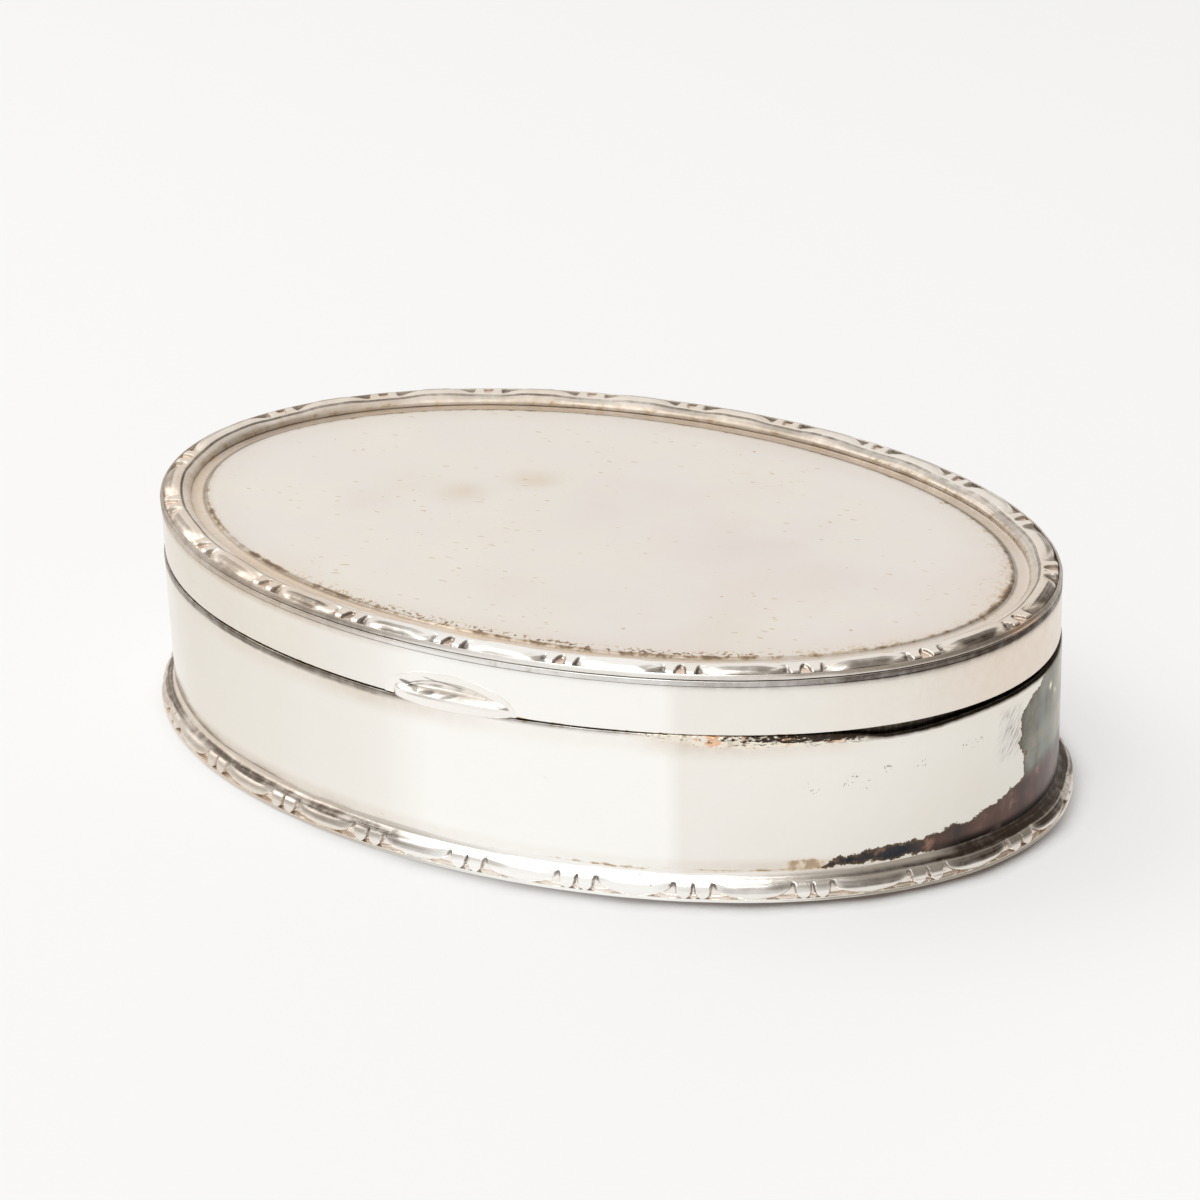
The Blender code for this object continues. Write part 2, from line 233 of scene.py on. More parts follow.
def makeLidBorder():
    # the section's heights are drawn down to the pit level where the relief is low, and the crest sags
    # between the hulls
    form = lidBorderForm
    ring, away = wireRing(form)
    inset, top = smoothProfile(form["section"], form["steps"]).T[:, None, :]
    onTop = np.arange(inset.size)[None, :] >= sum(form["steps"][:form["under"]])
    start, end = form["ornament"]
    share = np.where(onTop, (inset - start) / (end - start), -1)
    relief, masks = wireRelief(away, share, form)
    middle = smoothStep(1.3, 4.6, away)
    sag = form["swell"] * (1 - middle) * smoothStep(0.3, 1.2, inset) * smoothStep(3.1, 2.2, inset) * onTop
    height = top - sag + 0.05 * middle * masks["hull"] * smoothStep(0, 0.4, share) * smoothStep(1, 0.6, share)
    height = np.where(share > 0, form["pitLevel"] + (height - form["pitLevel"]) * relief, height)
    height = np.minimum(height + ripples(ring.turn, inset, 5, 0.012, (8, 60), 2.0) * onTop, 23.94)
    outset = -(inset + ripples(ring.turn, top, 6, 0.012, (10, 80), 2.0))
    return hoop("lidBorder", ring, outset, height, inset, inset=inset, onTop=onTop, middle=middle, **masks)


footForm = {
    "points": 2250, "start": -1.4, "repeats": 23, "counted": 1.5,
    "betweenPit": 0.3, "notch": 0.08, "toothOuter": 1.5, "toothGrowth": 0.2, "toothTip": 0.5, "tipReach": 0.42,
    "hullTop": 2.2, "sidePit": 2.5, "archPower": 1.2, "pitReach": 0.98, "hullPower": 2.6, "hullSlope": 0.35,
    "hullTaper": 2.6, "hullDrop": 0.3, "ornament": (0.38, 1.95), "pitDepth": 0.5, "swell": 0.14,
    "middleDepth": 1, "sideDepth": 1,
    # outset and height of the section, from inside its underside round the rim and up to the wall
    "section": [(0.6, 0.0), (1.3, 0.0), (1.48, 0.02), (1.6, 0.1), (1.66, 0.2), (1.62, 0.29), (1.55, 0.35), (1.54, 0.42),
                (1.61, 0.56), (1.67, 0.8), (1.68, 1.05), (1.63, 1.3), (1.49, 1.56), (1.26, 1.78), (0.98, 1.93),
                (0.72, 2.04), (0.5, 2.15), (0.32, 2.3), (0.18, 2.5), (0.08, 2.7), (0.02, 2.2), (0.02, 0.6)],
    "steps": [*[1] * 7, 3, 4, 4, 5, 5, 4, 4, 2, 2, 2, 2, 1, 1, 1], "rim": 7, "top": 14,
}


def makeFoot():
    # the section's outsets are drawn in towards the wall where the relief is low
    form = footForm
    ring, away = wireRing(form)
    outset, height = smoothProfile(form["section"], form["steps"]).T[:, None, :]
    number = np.arange(outset.size)[None, :]
    first, last = sum(form["steps"][:form["rim"]]), sum(form["steps"][:form["top"]])
    low, high = form["ornament"]
    share = np.where((number > first) & (number < last), (height - low) / (high - low), -1)
    relief, masks = wireRelief(away, share, form)
    middle = smoothStep(1.3, 4.4, away)
    drawn = form["pitDepth"] * (1 - relief) * smoothStep(1.05, 0.8, share) * (share > 0)
    drawn = drawn + form["swell"] * (1 - middle) * smoothStep(0.6, 1.1, height) * (number > first) * (number <= last)
    newOutset = outset - drawn + ripples(ring.turn, height, 7, 0.012, (8, 70), 2.0) * (outset > 0.3)
    return hoop("footBorder", ring, newOutset, height, height, outset=outset, share=share, **masks)


baseWallForm = {
    "points": 1100,
    "dent": 0.035,           # depth of the hand-made unevenness
    # degrees and height of the rim, and of the lower edge of its worn bevel
    "rim": [(-180, 17.14), (-123, 17.16), (-97, 17.14), (-81, 17.17), (-64, 17.16), (-57, 17.12), (-50, 17.1),
            (-44, 17.02), (-41, 16.8), (-38.5, 16.45), (-36, 16.2), (-31, 16.17), (-24, 16.45), (-15, 16.6),
            (-3, 16.5), (6, 16.5), (30, 16.7), (60, 16.78), (140, 16.8), (165, 17.0), (180, 17.14)],
    "wornEdge": [(-180, 16.96), (-123, 16.96), (-97, 16.94), (-81, 17.0), (-70, 16.98), (-66, 16.76), (-62, 16.5),
                 (-58, 15.98), (-54, 16.0), (-48, 16.14), (-42, 16.24), (-37, 16.1), (-31, 16.08), (-24, 16.36),
                 (-15, 16.52), (6, 16.42), (30, 16.6), (60, 16.68), (140, 16.68), (165, 16.86), (180, 16.96)],
    "nick": 0.05,
}


def makeBaseWall():
    # outer face with low ripples, a rim whose height and bevel vary with the angle, and a plain inner face
    form = baseWallForm
    ring = ringPoints(form["points"], boxForm["baseOutset"])
    degrees, turn = ring.degrees, ring.turn
    rim, wornEdge = alongTable(degrees, form["rim"]), alongTable(degrees, form["wornEdge"])
    bevel = rim - wornEdge
    worn = smoothStep(0.16, 0.5, bevel)
    rim = rim + ripples(turn, 0, 11, 0.02, (6, 40), 0) + ripples(turn, 0, 12, 0.02, (90, 400), 0) * (0.3 + worn)
    bevel = bevel * (1 + ripples(turn, 0, 13, 0.14, (20, 160), 0))
    recess = 0.05 + 0.4 * bevel * (1 + ripples(turn, 0, 14, 0.2, (20, 200), 0))
    outerHeight = np.linspace(0, 1, 58)[None, :] * (rim - bevel)
    outer = boxForm["baseOutset"] + ripples(turn, outerHeight, 15, form["dent"], (2, 14), 0.25)
    part = np.linspace(0, 1, 9)[None, 1:] * math.pi / 2
    bevelHeight = rim - bevel + bevel * np.sin(part)
    bevelNoise = ripples(turn, bevelHeight, 16, form["nick"], (60, 330), 9) * worn * np.sin(2 * part)
    bevelOut = outer[:, -1:] - recess * (1 - np.cos(part)) + bevelNoise
    innerHeight = np.linspace(1, 0, 17)[None, :] * (rim - 0.06)
    innerOut = np.full_like(innerHeight, boxForm["baseOutset"] - boxForm["sheet"])
    heights = np.hstack((outerHeight, bevelHeight, innerHeight))
    outsets = np.hstack((outer, bevelOut, innerOut))
    rimEdge = np.hstack((0 * outerHeight, 1 + 0 * bevelHeight, 0 * innerHeight))
    rimEdge[:, 57] = 0.6
    outerFace = np.arange(heights.shape[1]) < outer.shape[1] + bevelOut.shape[1]
    return hoop("baseWall", ring, outsets, heights, heights, stain=stainDistance(degrees, heights),
                worn=rimEdge * worn, rimEdge=rimEdge, outer=outerFace)


stainForm = {
    # outline of the dark patch at the right end, degrees round the oval and height
    "outline": [(-46, 2.3), (-44.6, 3.1), (-42.6, 3.9), (-38.9, 4.3), (-34.6, 4.45), (-30, 4.45), (-26.9, 4.75),
                (-24.7, 5.2), (-21.6, 4.8), (-19.3, 5.6), (-16.2, 5.85), (-15.6, 6.1), (-12.3, 6.35), (-9.6, 6.8),
                (-8.6, 7.95), (-8.7, 9.4), (-10.7, 10.9), (-9.8, 11.6), (-9.9, 13.1), (-9.4, 14.2), (-6.2, 15.1),
                (-3.3, 15.9), (1, 17.5), (34, 17.5), (31.6, 16), (32.8, 14), (30, 12.2), (31, 10), (28, 8.4),
                (29, 6.5), (26, 5.2), (27, 3.9), (25, 2)],
}


def stainDistance(degrees, heights):
    # distance to the outline's nearest side, in millimetres along the wall, positive inside the outline
    wallScale = 0.62                                  # millimetres a degree near the right end
    px, py = degrees * wallScale, heights
    corners = np.array(stainForm["outline"], float) * (wallScale, 1)
    nearest = np.full(np.broadcast(px, py).shape, 1e9)
    inside = np.zeros(nearest.shape, bool)
    for start, end in zip(corners, np.roll(corners, -1, axis=0)):
        way = end - start
        t = np.clip(((px - start[0]) * way[0] + (py - start[1]) * way[1]) / (way @ way), 0, 1)
        nearest = np.minimum(nearest, np.hypot(px - start[0] - t * way[0], py - start[1] - t * way[1]))
        crosses = (start[1] > py) != (end[1] > py)
        where = start[0] + (py - start[1]) * way[0] / (way[1] if way[1] else 1e-9)
        inside ^= crosses & (px < where)
    return np.where(inside, nearest, -nearest)


lidWallForm = {
    "points": 1080, "dent": 0.03,
    # outset and height above the lower edge of its rounded section
    "section": [(-0.55, 0.08), (-0.4, 0), (-0.1, 0), (-0.02, 0.05), (0, 0.18)], "steps": [3, 3, 4, 4],
}


def makeLidWall():
    # outer face with low ripples, rounded lower edge, plain inner face
    form = lidWallForm
    ring = ringPoints(form["points"], 0)
    low, high = boxForm["lidEdge"], boxForm["lidSheetBottom"] - 0.05
    edgeOut, edgeHeight = smoothProfile([(outset, low + rise) for outset, rise in form["section"]], form["steps"]).T
    face, inner = np.linspace(low + 0.18, high, 30)[1:], np.linspace(high, low + 0.2, 10)
    outset = np.concatenate((edgeOut, 0 * face, [-0.08, -0.5], 0 * inner - boxForm["sheet"]))
    height = np.concatenate((edgeHeight, face, [high + 0.03, high + 0.03], inner))
    wavy = ripples(ring.turn, height[None, :], 21, form["dent"], (2, 12), 0.3) * (outset > -0.3)
    return hoop("lidWall", ring, outset + wavy, height, height)


def filledIn(grid, under, over):
    # the first and last column again, shrunk towards the middle by each factor
    return np.hstack((grid[:, :1] * under, grid, grid[:, -1:] * over))


lidTopForm = {
    "points": 900, "moatStart": 3.15, "moatEnd": 4.87, "moatLevel": 22.74, "panelLevel": 23.0,
    "dish": 0.05,            # how far the panel's middle lies lower than its edge
    "dent": 0.009,
}


def makeLidTop():
    # rings run from the middle of the underside round the edge and the moat to the middle of the panel
    form = lidTopForm
    ring = ringPoints(form["points"], 0)
    bottom = boxForm["lidSheetBottom"]
    edge = [(4.9, bottom - 0.02), (3.6, bottom - 0.26), (0.75, bottom - 0.26), (0.62, bottom), (0.06, bottom),
            (-0.01, bottom + 0.05), (-0.02, bottom + 0.17), (-0.02, bottom + 0.34), (0.02, bottom + 0.46),
            (0.14, bottom + 0.54), (0.6, 22.92), (2.6, 22.9), (form["moatStart"], 22.82), (3.5, form["moatLevel"]),
            (4.1, form["moatLevel"] + 0.02), (4.55, 22.86), (form["moatEnd"] - 0.1, form["panelLevel"] - 0.03),
            (form["moatEnd"] + 0.12, form["panelLevel"])]
    steps = [2, 4, 1, 2, 2, 2, 2, 2, 2, 2, 3, 2, 3, 4, 4, 4, 3]
    inset, height = smoothProfile(edge, steps).T
    shrink = np.linspace(1, 0, 60)[1:-1] ** 0.9
    under = len(shrink[::4])                          # rings on the underside
    x, y = [filledIn(grid, shrink[::-1][::4], shrink) for grid in ovalPoint(ring.angles, -inset[None, :])]
    panelX, panelY = x[:, -len(shrink):] / 48, y[:, -len(shrink):] / 31
    dish = -form["dish"] * (1 - panelX ** 2 - panelY ** 2)
    draw = np.random.default_rng(31)
    dents = sum(np.cos(draw.uniform(-1, 1) * panelX * 14 + draw.uniform(-1, 1) * panelY * 10
                       + draw.uniform(0, 6.28)) for number in range(16)) * form["dent"]
    fade = smoothStep(1.0, 0.9, shrink)[None, :]
    panel = form["panelLevel"] + (dish + dents) * fade
    low = np.concatenate((np.full(under, bottom - 0.02), height))
    z = np.hstack((np.broadcast_to(low, (len(x), len(low))), panel))
    insets = np.concatenate((np.full(under, 9.0), inset, np.full(len(shrink), 6.0)))
    edgeAway = np.concatenate((np.full(under, -20.0), inset - form["moatEnd"], (1 - shrink) * 24))
    topSide = np.arange(x.shape[1]) >= under + sum(steps[:8])
    ends = ((0, (0, 0, bottom - 0.02)), (x.shape[1] - 1, (0, 0, float(panel[:, -1].mean()))))
    return gridMesh("lidTop", x, y, z, closedSection=False, poles=ends,
                    flow=(ring.distances, ring.length, np.broadcast_to(insets, x.shape)),
                    layers={"edgeAway": edgeAway, "topSide": topSide, "angle": ring.degrees, "x": x, "y": y})


thumbForm = {
    "halfWidth": 7.2, "middle": -0.4, "rise": 3.2,
    "lipHalfWidth": 6.35, "lipReach": 1.42, "lipTop": 1.28,
    "scoopTop": 2.35, "scoopHalfWidth": 4.6, "ridge": 0.14,
    # dark marks in the hollow: both ends, half width and depth
    "marks": [(-5.7, 18.9, -3.3, 18.52, 0.3, 0.5), (-3.2, 18.5, -1.4, 18.7, 0.15, 0.6),
              (-3.1, 19.8, 1.6, 19.3, 0.09, 0.5), (-0.6, 18.55, 0.9, 18.75, 0.12, 0.4)],
}


def makeThumbpiece():
    # a sheet of outsets over the lid wall: a lip below, a hollow behind it, and a ridge that fades upwards
    form = thumbForm
    across = np.sin(np.linspace(-1, 1, 161) * math.pi / 2)[:, None]
    up = np.concatenate((np.linspace(0, 0.36, 16), np.linspace(0.37, 0.5, 22), np.linspace(0.51, 1, 34)))[None, :]
    x = form["halfWidth"] * across + form["middle"]
    tall = form["rise"] * np.sqrt(np.clip(1 - across ** 2, 0, 1)) + 0.02
    z = up * np.maximum(tall, 0.02)
    lipShape = np.clip(1 - ((x + 0.1) / form["lipHalfWidth"]) ** 2, 0, 1)
    lip = form["lipReach"] * lipShape ** 0.62
    lipTop = form["lipTop"] * (0.35 + 0.65 * lipShape ** 0.5)
    rounding = 1 - 0.14 * np.clip(1 - z / 0.25, 0, 1) ** 2 - 0.1 * smoothStep(lipTop - 0.35, lipTop, z)
    front = lip * rounding
    fall = smoothStep(lipTop - 0.02, lipTop + 0.42, z)
    scoopHalf = form["scoopHalfWidth"]
    arch = form["scoopTop"] * np.sqrt(np.clip(1 - ((x + 0.2) / (scoopHalf + 1.0)) ** 2, 0, 1))
    inScoop = smoothStep(0.12, -0.12, z - arch)
    crown = form["ridge"] * np.sqrt(np.clip(1 - (z / np.maximum(tall, 0.05)) ** 2.2, 0, 1))
    crown = crown * (0.35 + 0.65 * lipShape ** 0.4)
    hollow = crown - 0.2 * inScoop * smoothStep(0.0, 0.35, lipShape)
    outset = np.where(lip > 0.02, front * (1 - fall) + hollow * fall, hollow)
    outset = np.maximum(outset, 0.0) + 0.015 * (up < 1)
    outset = outset * smoothStep(0, 0.02, 1.0 - np.abs(across) + 0.004)
    angles = -math.pi / 2 + x / boxForm["halfLength"]
    frontX, frontY = ovalPoint(angles + 0 * up, outset)
    backX, backY = ovalPoint(angles + 0 * up, np.full_like(outset, -0.12))
    gridX, gridY = np.hstack((frontX, backX[:, ::-1])), np.hstack((frontY, backY[:, ::-1]))
    gridZ = np.hstack((z, z[:, ::-1])) + boxForm["lidEdge"]
    scoopMask = np.hstack((fall * inScoop, np.zeros_like(z)))
    return gridMesh("thumbCatch", gridX, gridY, gridZ, around=False,
                    layers={"scoop": scoopMask, "x": gridX, "height": gridZ})


collarForm = {
    # outset and height of the section, over its rounded top edge
    "section": [(-0.9, 11.3), (-0.9, 14.0), (-0.9, 18.3), (-0.98, 18.5), (-1.15, 18.55), (-1.32, 18.5),
                (-1.4, 18.3), (-1.4, 14.0), (-1.4, 11.3)], "steps": [3, 6, 2, 2, 2, 2, 6, 3],
}


def makeCollar():
    # a thin strip, hardly rippled
    ring = ringPoints(600, -0.9)
    outset, height = smoothProfile(collarForm["section"], collarForm["steps"]).T
    wavy = ripples(ring.turn, height[None, :], 41, 0.012, (2, 10), 0.3)
    return hoop("innerCollar", ring, outset + wavy, height, height, outer=outset > -1)


floorForm = {
    # inset and height of the edge's section
    "section": [(1.6, 0.0), (1.05, 0.0), (0.92, 0.1), (0.88, 0.4), (0.92, 0.7), (1.05, 0.8), (1.6, 0.8)],
    "thick": 0.8, "dome": 0.02,
}


def makeBaseFloor():
    # a flat oval sheet with a rounded edge, hardly domed
    thick, dome = floorForm["thick"], floorForm["dome"]
    ring = ringPoints(480, -0.9)
    inset, height = smoothProfile(floorForm["section"], [2] * 6).T
    shrink = np.linspace(1, 0, 26)[1:-1]
    x, y = [filledIn(grid, shrink[::-1], shrink) for grid in ovalPoint(ring.angles, -inset[None, :])]
    low = np.concatenate((0 * shrink, height))
    high = thick + dome * np.cos(x[:, -len(shrink):] * 0.25) * np.cos(y[:, -len(shrink):] * 0.3) - dome
    z = np.hstack((np.broadcast_to(low, (len(x), len(low))), high))
    ends = ((0, (0, 0, 0)), (x.shape[1] - 1, (0, 0, thick)))
    return gridMesh("baseFloor", x, y, z, closedSection=False, poles=ends, flow=(ring.distances, ring.length, x))


hingeForm = {
    "y": 32.3, "z": 17.0, "radius": 0.9, "bore": 0.5, "pin": 0.4, "length": 26.0, "gap": 0.3,
    "tubes": ["base_knuckle_left", "lid_knuckle_left", "base_knuckle_middle", "lid_knuckle_right",
              "base_knuckle_right"],
    "baseStrip": (13.8, 15.8), "lidStrip": (18.2, 20.2), "stripOut": 1.2, "round": 0.18, "padRise": 0.34,
}


def turned(profile, steps):
    # a profile of places along X and radii, turned about the hinge line
    turnAngles = np.linspace(0, 2 * math.pi, steps, endpoint=False)[:, None]
    along, radius = np.array(profile, float).T
    x = np.broadcast_to(along, (steps, len(along)))
    return x, hingeForm["y"] + radius * np.cos(turnAngles), hingeForm["z"] + radius * np.sin(turnAngles)


def tubePlace(order):
    # middle and half length of a tube in the row
    count, gap = len(hingeForm["tubes"]), hingeForm["gap"]
    half = (hingeForm["length"] - (count - 1) * gap) / count / 2
    return (order - (count - 1) / 2) * (2 * half + gap), half


def makeKnuckle(order):
    # a short tube with rounded ends, a hardly narrower waist and an open bore
    middle, half = tubePlace(order)
    left, right = middle - half, middle + half
    outer, bore, soft = hingeForm["radius"], hingeForm["bore"], 0.1
    profile = [(left, bore + 0.05), (left, outer - soft), (left + 0.03, outer - 0.03), (left + soft, outer),
               (middle - half * 0.4, outer), (middle, outer - 0.01), (middle + half * 0.4, outer),
               (right - soft, outer), (right - 0.03, outer - 0.03), (right, outer - soft), (right, bore + 0.05),
               (right - 0.05, bore), (left + 0.05, bore)]
    return gridMesh(hingeForm["tubes"][order].replace("_", "") + "Tube", *turned(profile, 48))


def makePin():
    # a wire with rounded ends
    half, pin = hingeForm["length"] / 2 + 0.3, hingeForm["pin"]
    profile = [(-half, pin * 0.5), (-half + 0.03, pin * 0.85), (-half + 0.1, pin), (0, pin), (half - 0.1, pin),
               (half - 0.03, pin * 0.85), (half, pin * 0.5)]
    ends = [(column, (x, hingeForm["y"], hingeForm["z"])) for column, x in ((0, -half), (len(profile) - 1, half))]
    return gridMesh("hingePin", *turned(profile, 32), closedSection=False, poles=ends)


def makeBearer(name, heights, padUp, owners):
    # a strip with a rounded section along the back wall, with a pad that reaches each of its own tubes
    x = np.linspace(-hingeForm["length"] / 2, hingeForm["length"] / 2, 261)[:, None]
    low, high = heights
    pad = 0 * x
    for order in owners:
        middle, half = tubePlace(order)
        pad = np.maximum(pad, smoothStep(half + 0.02, half - 0.12, np.abs(x - middle)))
    wall = boxForm["halfWidth"] * np.sqrt(1 - (x / boxForm["halfLength"]) ** 2)
    out, r = boxForm["halfWidth"] + hingeForm["stripOut"], hingeForm["round"]
    corner = np.linspace(0, math.pi / 2, 5)
    outerY = (out - r) + r * np.concatenate((np.sin(corner), np.cos(corner)))
    outerZ = np.concatenate(((high - r) + r * np.cos(corner), (low + r) - r * np.sin(corner)))
    y = np.hstack((wall + 0.02, wall + 0.5, outerY + 0 * x, wall + 0.5, wall + 0.02))
    z = np.concatenate(([high, high], outerZ, [low, low])) + 0 * x
    rise = hingeForm["padRise"] * pad * smoothStep(wall + 0.1, out - 0.75, y) * smoothStep(out + 0.06, out - 0.14, y)
    z = z + np.where(z > (low + high) / 2, rise, 0) if padUp else z - np.where(z < (low + high) / 2, rise, 0)
    grids = [np.vstack((0 * grid[:1] + grid[0].mean(), grid, 0 * grid[:1] + grid[-1].mean()))
             for grid in (x + 0 * y, y, z)]           # both ends close at the middle of their section
    return gridMesh(name, *grids, around=False)


class Signal:
    # an output of a node: +, - and * join it to another output or a number by a maths node, and ["name"] is
    # another output of the same node
    def __init__(self, socket):
        self.socket, self.tree = socket, socket.id_data

    def __getitem__(self, name):
        return Signal(self.socket.node.outputs[name])

    def __add__(self, other):
        return calc("ADD", self, other)

    def __sub__(self, other):
        return calc("SUBTRACT", self, other)

    def __rsub__(self, other):
        return calc("SUBTRACT", other, self)

    def __mul__(self, other):
        return calc("MULTIPLY", self, other)

    def __rmul__(self, other):
        return calc("MULTIPLY", other, self)


def setInputs(item, values):
    # each input of the node gets a value, or a link
    for key, value in values.items():
        socket = item.inputs[key]
        if isinstance(value, Signal):
            value.tree.links.new(value.socket, socket)
        else:
            socket.default_value = (*value, 1) if socket.type == "RGBA" else value


def addNode(tree, kind, inputs=None, out=0, **settings):
    # a node with its settings and inputs; gives one of its outputs
    item = tree.nodes.new("ShaderNode" + kind)
    for key, value in settings.items():
        setattr(item, key, value)
    setInputs(item, inputs or {})
    return Signal(item.outputs[out])


def calc(operation, *values, clamp=False):
    # a maths node on one or two values, at least one of them a signal
    tree = next(value.tree for value in values if isinstance(value, Signal))
    return addNode(tree, "Math", dict(enumerate(values)), operation=operation, use_clamp=clamp)


def most(first, second):
    # the greater of two signals
    return calc("MAXIMUM", first, second)


def fade(value, low, high, start=0.0, end=1.0):
    # a smooth step of the value from low to high
    ends = {"Value": value, "From Min": low, "From Max": high, "To Min": start, "To Max": end}
    return addNode(value.tree, "MapRange", ends, interpolation_type="SMOOTHSTEP")


def blend(factor, first, second):
    # the first colour where the factor is 0, and the second where it is 1
    return addNode(factor.tree, "Mix", {"Factor": factor, 6: first, 7: second}, 2, data_type="RGBA")


def noise(place, scale, detail=2.0, roughness=0.5):
    # clouds from 0 to 1, scale of them to a metre
    values = {"Vector": place, "Scale": scale, "Detail": detail, "Roughness": roughness}
    return addNode(place.tree, "TexNoise", values)


def streaks(place, scale, detail, roughness=0.5, turn=0.0, kind="POINT"):
    # noise drawn out by different scales along and across
    drawn = addNode(place.tree, "Mapping", {"Vector": place, "Rotation": (0, 0, turn), "Scale": (*scale, 1.0)},
                    vector_type=kind)
    return noise(drawn, 1.0, detail, roughness)


def ramp(value, stops):
    # colours at places from 0 to 1
    colors = addNode(value.tree, "ValToRGB", {"Fac": value})
    elements = colors.socket.node.color_ramp.elements
    while len(elements) < len(stops):
        elements.new(0.5)
    for element, (place, color) in zip(elements, stops):
        element.position, element.color = place, (*color, 1)
    return colors


def startGroup(name, inputs, outputs):
    # an empty group with labelled sockets; gives its inputs as a signal, and the node that takes its outputs
    tree = bpy.data.node_groups.new(name, "ShaderNodeTree")
    for way, sockets in (("INPUT", inputs), ("OUTPUT", outputs)):
        for label, kind in sockets.items():
            tree.interface.new_socket(label, in_out=way, socket_type="NodeSocket" + kind)
    return Signal(tree.nodes.new("NodeGroupInput").outputs[0]), tree.nodes.new("NodeGroupOutput")


grimeLook = {
    # the dark grime colour is dirt in part and painted shade in part
    "tan": (0.64, 0.505, 0.38), "grime": (0.078, 0.059, 0.044), "blush": (0.9, 0.7, 0.58),
    # silver darkens through cream, tan, brown and purple to blue-black as its tarnish gets deeper
    "depths": [(0.0, (0.84, 0.76, 0.64)), (0.25, (0.68, 0.55, 0.4)), (0.45, (0.4, 0.29, 0.2)),
               (0.62, (0.19, 0.13, 0.1)), (0.8, (0.09, 0.08, 0.085)), (1.0, (0.03, 0.028, 0.027))],
}


def makeTarnishGroup():
    # tarnish, with a tan film and streaked grime over it, where the grime colour also paints shade and dark reflection;
    # it covers 1 - (1 - amount)^2 of the metal
    floats = dict.fromkeys(("Depth", "Tan", "GrimeAndShade", "Streaks", "Mottle"), "Float")
    ins, outs = startGroup("tarnishTint", {"Clean": "Color", **floats}, {"Color": "Color", "Soiled": "Float"})
    tarnish = ramp(ins["Depth"], grimeLook["depths"])
    film = calc("MULTIPLY", ins["Tan"], fade(ins["Mottle"], 0.3, 0.65, 0.65, 1.15), clamp=True)
    color = blend(film, ins["Clean"], grimeLook["tan"])
    color = blend(calc("MULTIPLY", ins["Depth"], 4.0, clamp=True), color, tarnish)
    grime = calc("MULTIPLY", ins["GrimeAndShade"], fade(ins["Streaks"], 0.36, 0.62, 0.75, 1.15), clamp=True)
    grime = calc("MULTIPLY", grime, fade(ins["Mottle"], 0.38, 0.6, 0.72, 1.12), clamp=True)
    bare = 1.0 - grime
    grime = 1.0 - bare * bare
    soiled = most(most(grime, ins["Depth"]), film * 0.7)
    setInputs(outs, {"Color": blend(grime, color, grimeLook["grime"]), "Soiled": soiled})
    return ins.tree


def makeWearGroup():
    # Clouds: soft patches; Fine: small mottling; Scratches: thin lines; Specks: small pits; Brushed: streaks
    # along the flow
    labels = ("Clouds", "Fine", "Scratches", "Specks", "Brushed")
    ins, outs = startGroup("handWear", {"Place": "Vector", "Flow": "Vector", "Pits": "Float"},
                           dict.fromkeys(labels, "Float"))
    place, flow = ins["Place"], ins["Flow"]
    lines = 0.0
    for turn, width, cut in ((0.03, 2600.0, 0.66), (0.5, 1700.0, 0.7), (-0.9, 2000.0, 0.71)):
        lines = most(lines, fade(streaks(flow, (70.0, width), 2.0, turn=turn), cut, cut + 0.06))
    cells = addNode(ins.tree, "TexVoronoi", {"Vector": place, "Scale": 700.0})
    chance = addNode(ins.tree, "SeparateXYZ", {"Vector": cells["Color"]})
    chosen = calc("LESS_THAN", chance["X"], ins["Pits"])
    size = fade(chance["Y"], 0.0, 1.0, 0.03, 0.12)
    specks = chosen * fade(cells["Distance"] - size, 0.04, 0.0)
    values = (noise(place, 75.0, 5.0, 0.62), noise(place, 900.0, 3.0, 0.6), lines, specks,
              streaks(flow, (110.0, 5200.0), 4.0, 0.6))
    setInputs(outs, dict(zip(labels, values)))
    return ins.tree


tarnishGroup, wearGroup = makeTarnishGroup(), makeWearGroup()


def startMaterial(name, pits, flowFromUv=True):
    # a metal with the wear group placed; gives the wear's outputs, the place and a reader of the mesh's layers
    material = bpy.data.materials.new(name)
    material.use_nodes = True
    tree = material.node_tree
    place = addNode(tree, "TexCoord", out="Object")
    flow = addNode(tree, "UVMap", uv_map="flow") if flowFromUv else place
    wear = addNode(tree, "Group", {"Place": place, "Flow": flow, "Pits": pits}, node_tree=wearGroup)
    return material, wear, place, lambda layer: addNode(tree, "Attribute", out="Fac", attribute_name=layer)


def tarnishDepth(wear, layer, uneven, low, high, specks):
    # tarnish where its layer and the unevenness together go from low to high, and in the specks
    return most(fade(layer("tarnish") + uneven, low, high) * layer("deepest"), wear["Specks"] * specks)


def tarnished(wear, layer, clean, depth):
    # the coloured metal, and how soiled it is
    values = {"Clean": clean, "Depth": depth, "Tan": layer("film"), "GrimeAndShade": layer("grime"),
              "Streaks": wear["Brushed"], "Mottle": (wear["Fine"] + wear["Clouds"]) * 0.5}
    group = addNode(wear.tree, "Group", values, node_tree=tarnishGroup)
    return group["Color"], group["Soiled"]


def roughOf(wear, look):
    # roughness goes from low to high with the clouds
    return fade(wear["Clouds"], 0.3, 0.7, look["roughLow"], look["roughHigh"])


def finishMetal(material, color, roughness, height, distance=0.00003):
    # joins colour, roughness and a bump of the given depth in metres to the metal's shader
    bump = addNode(color.tree, "Bump", {"Height": height, "Strength": 1.0, "Distance": distance})
    setInputs(color.tree.nodes["Principled BSDF"],
              {"Metallic": 1.0, "Base Color": color, "Roughness": roughness, "Normal": bump})
    return material


panelLook = {
    "silver": (0.84, 0.797, 0.75), "pink": (0.82, 0.742, 0.695), "cream": (0.845, 0.805, 0.74),
    "smudge": (0.76, 0.66, 0.54), "flush": (0.8, 0.725, 0.685), "edge": (1.0, 0.985, 0.96),
    "roughLow": 0.34, "roughHigh": 0.46,
}


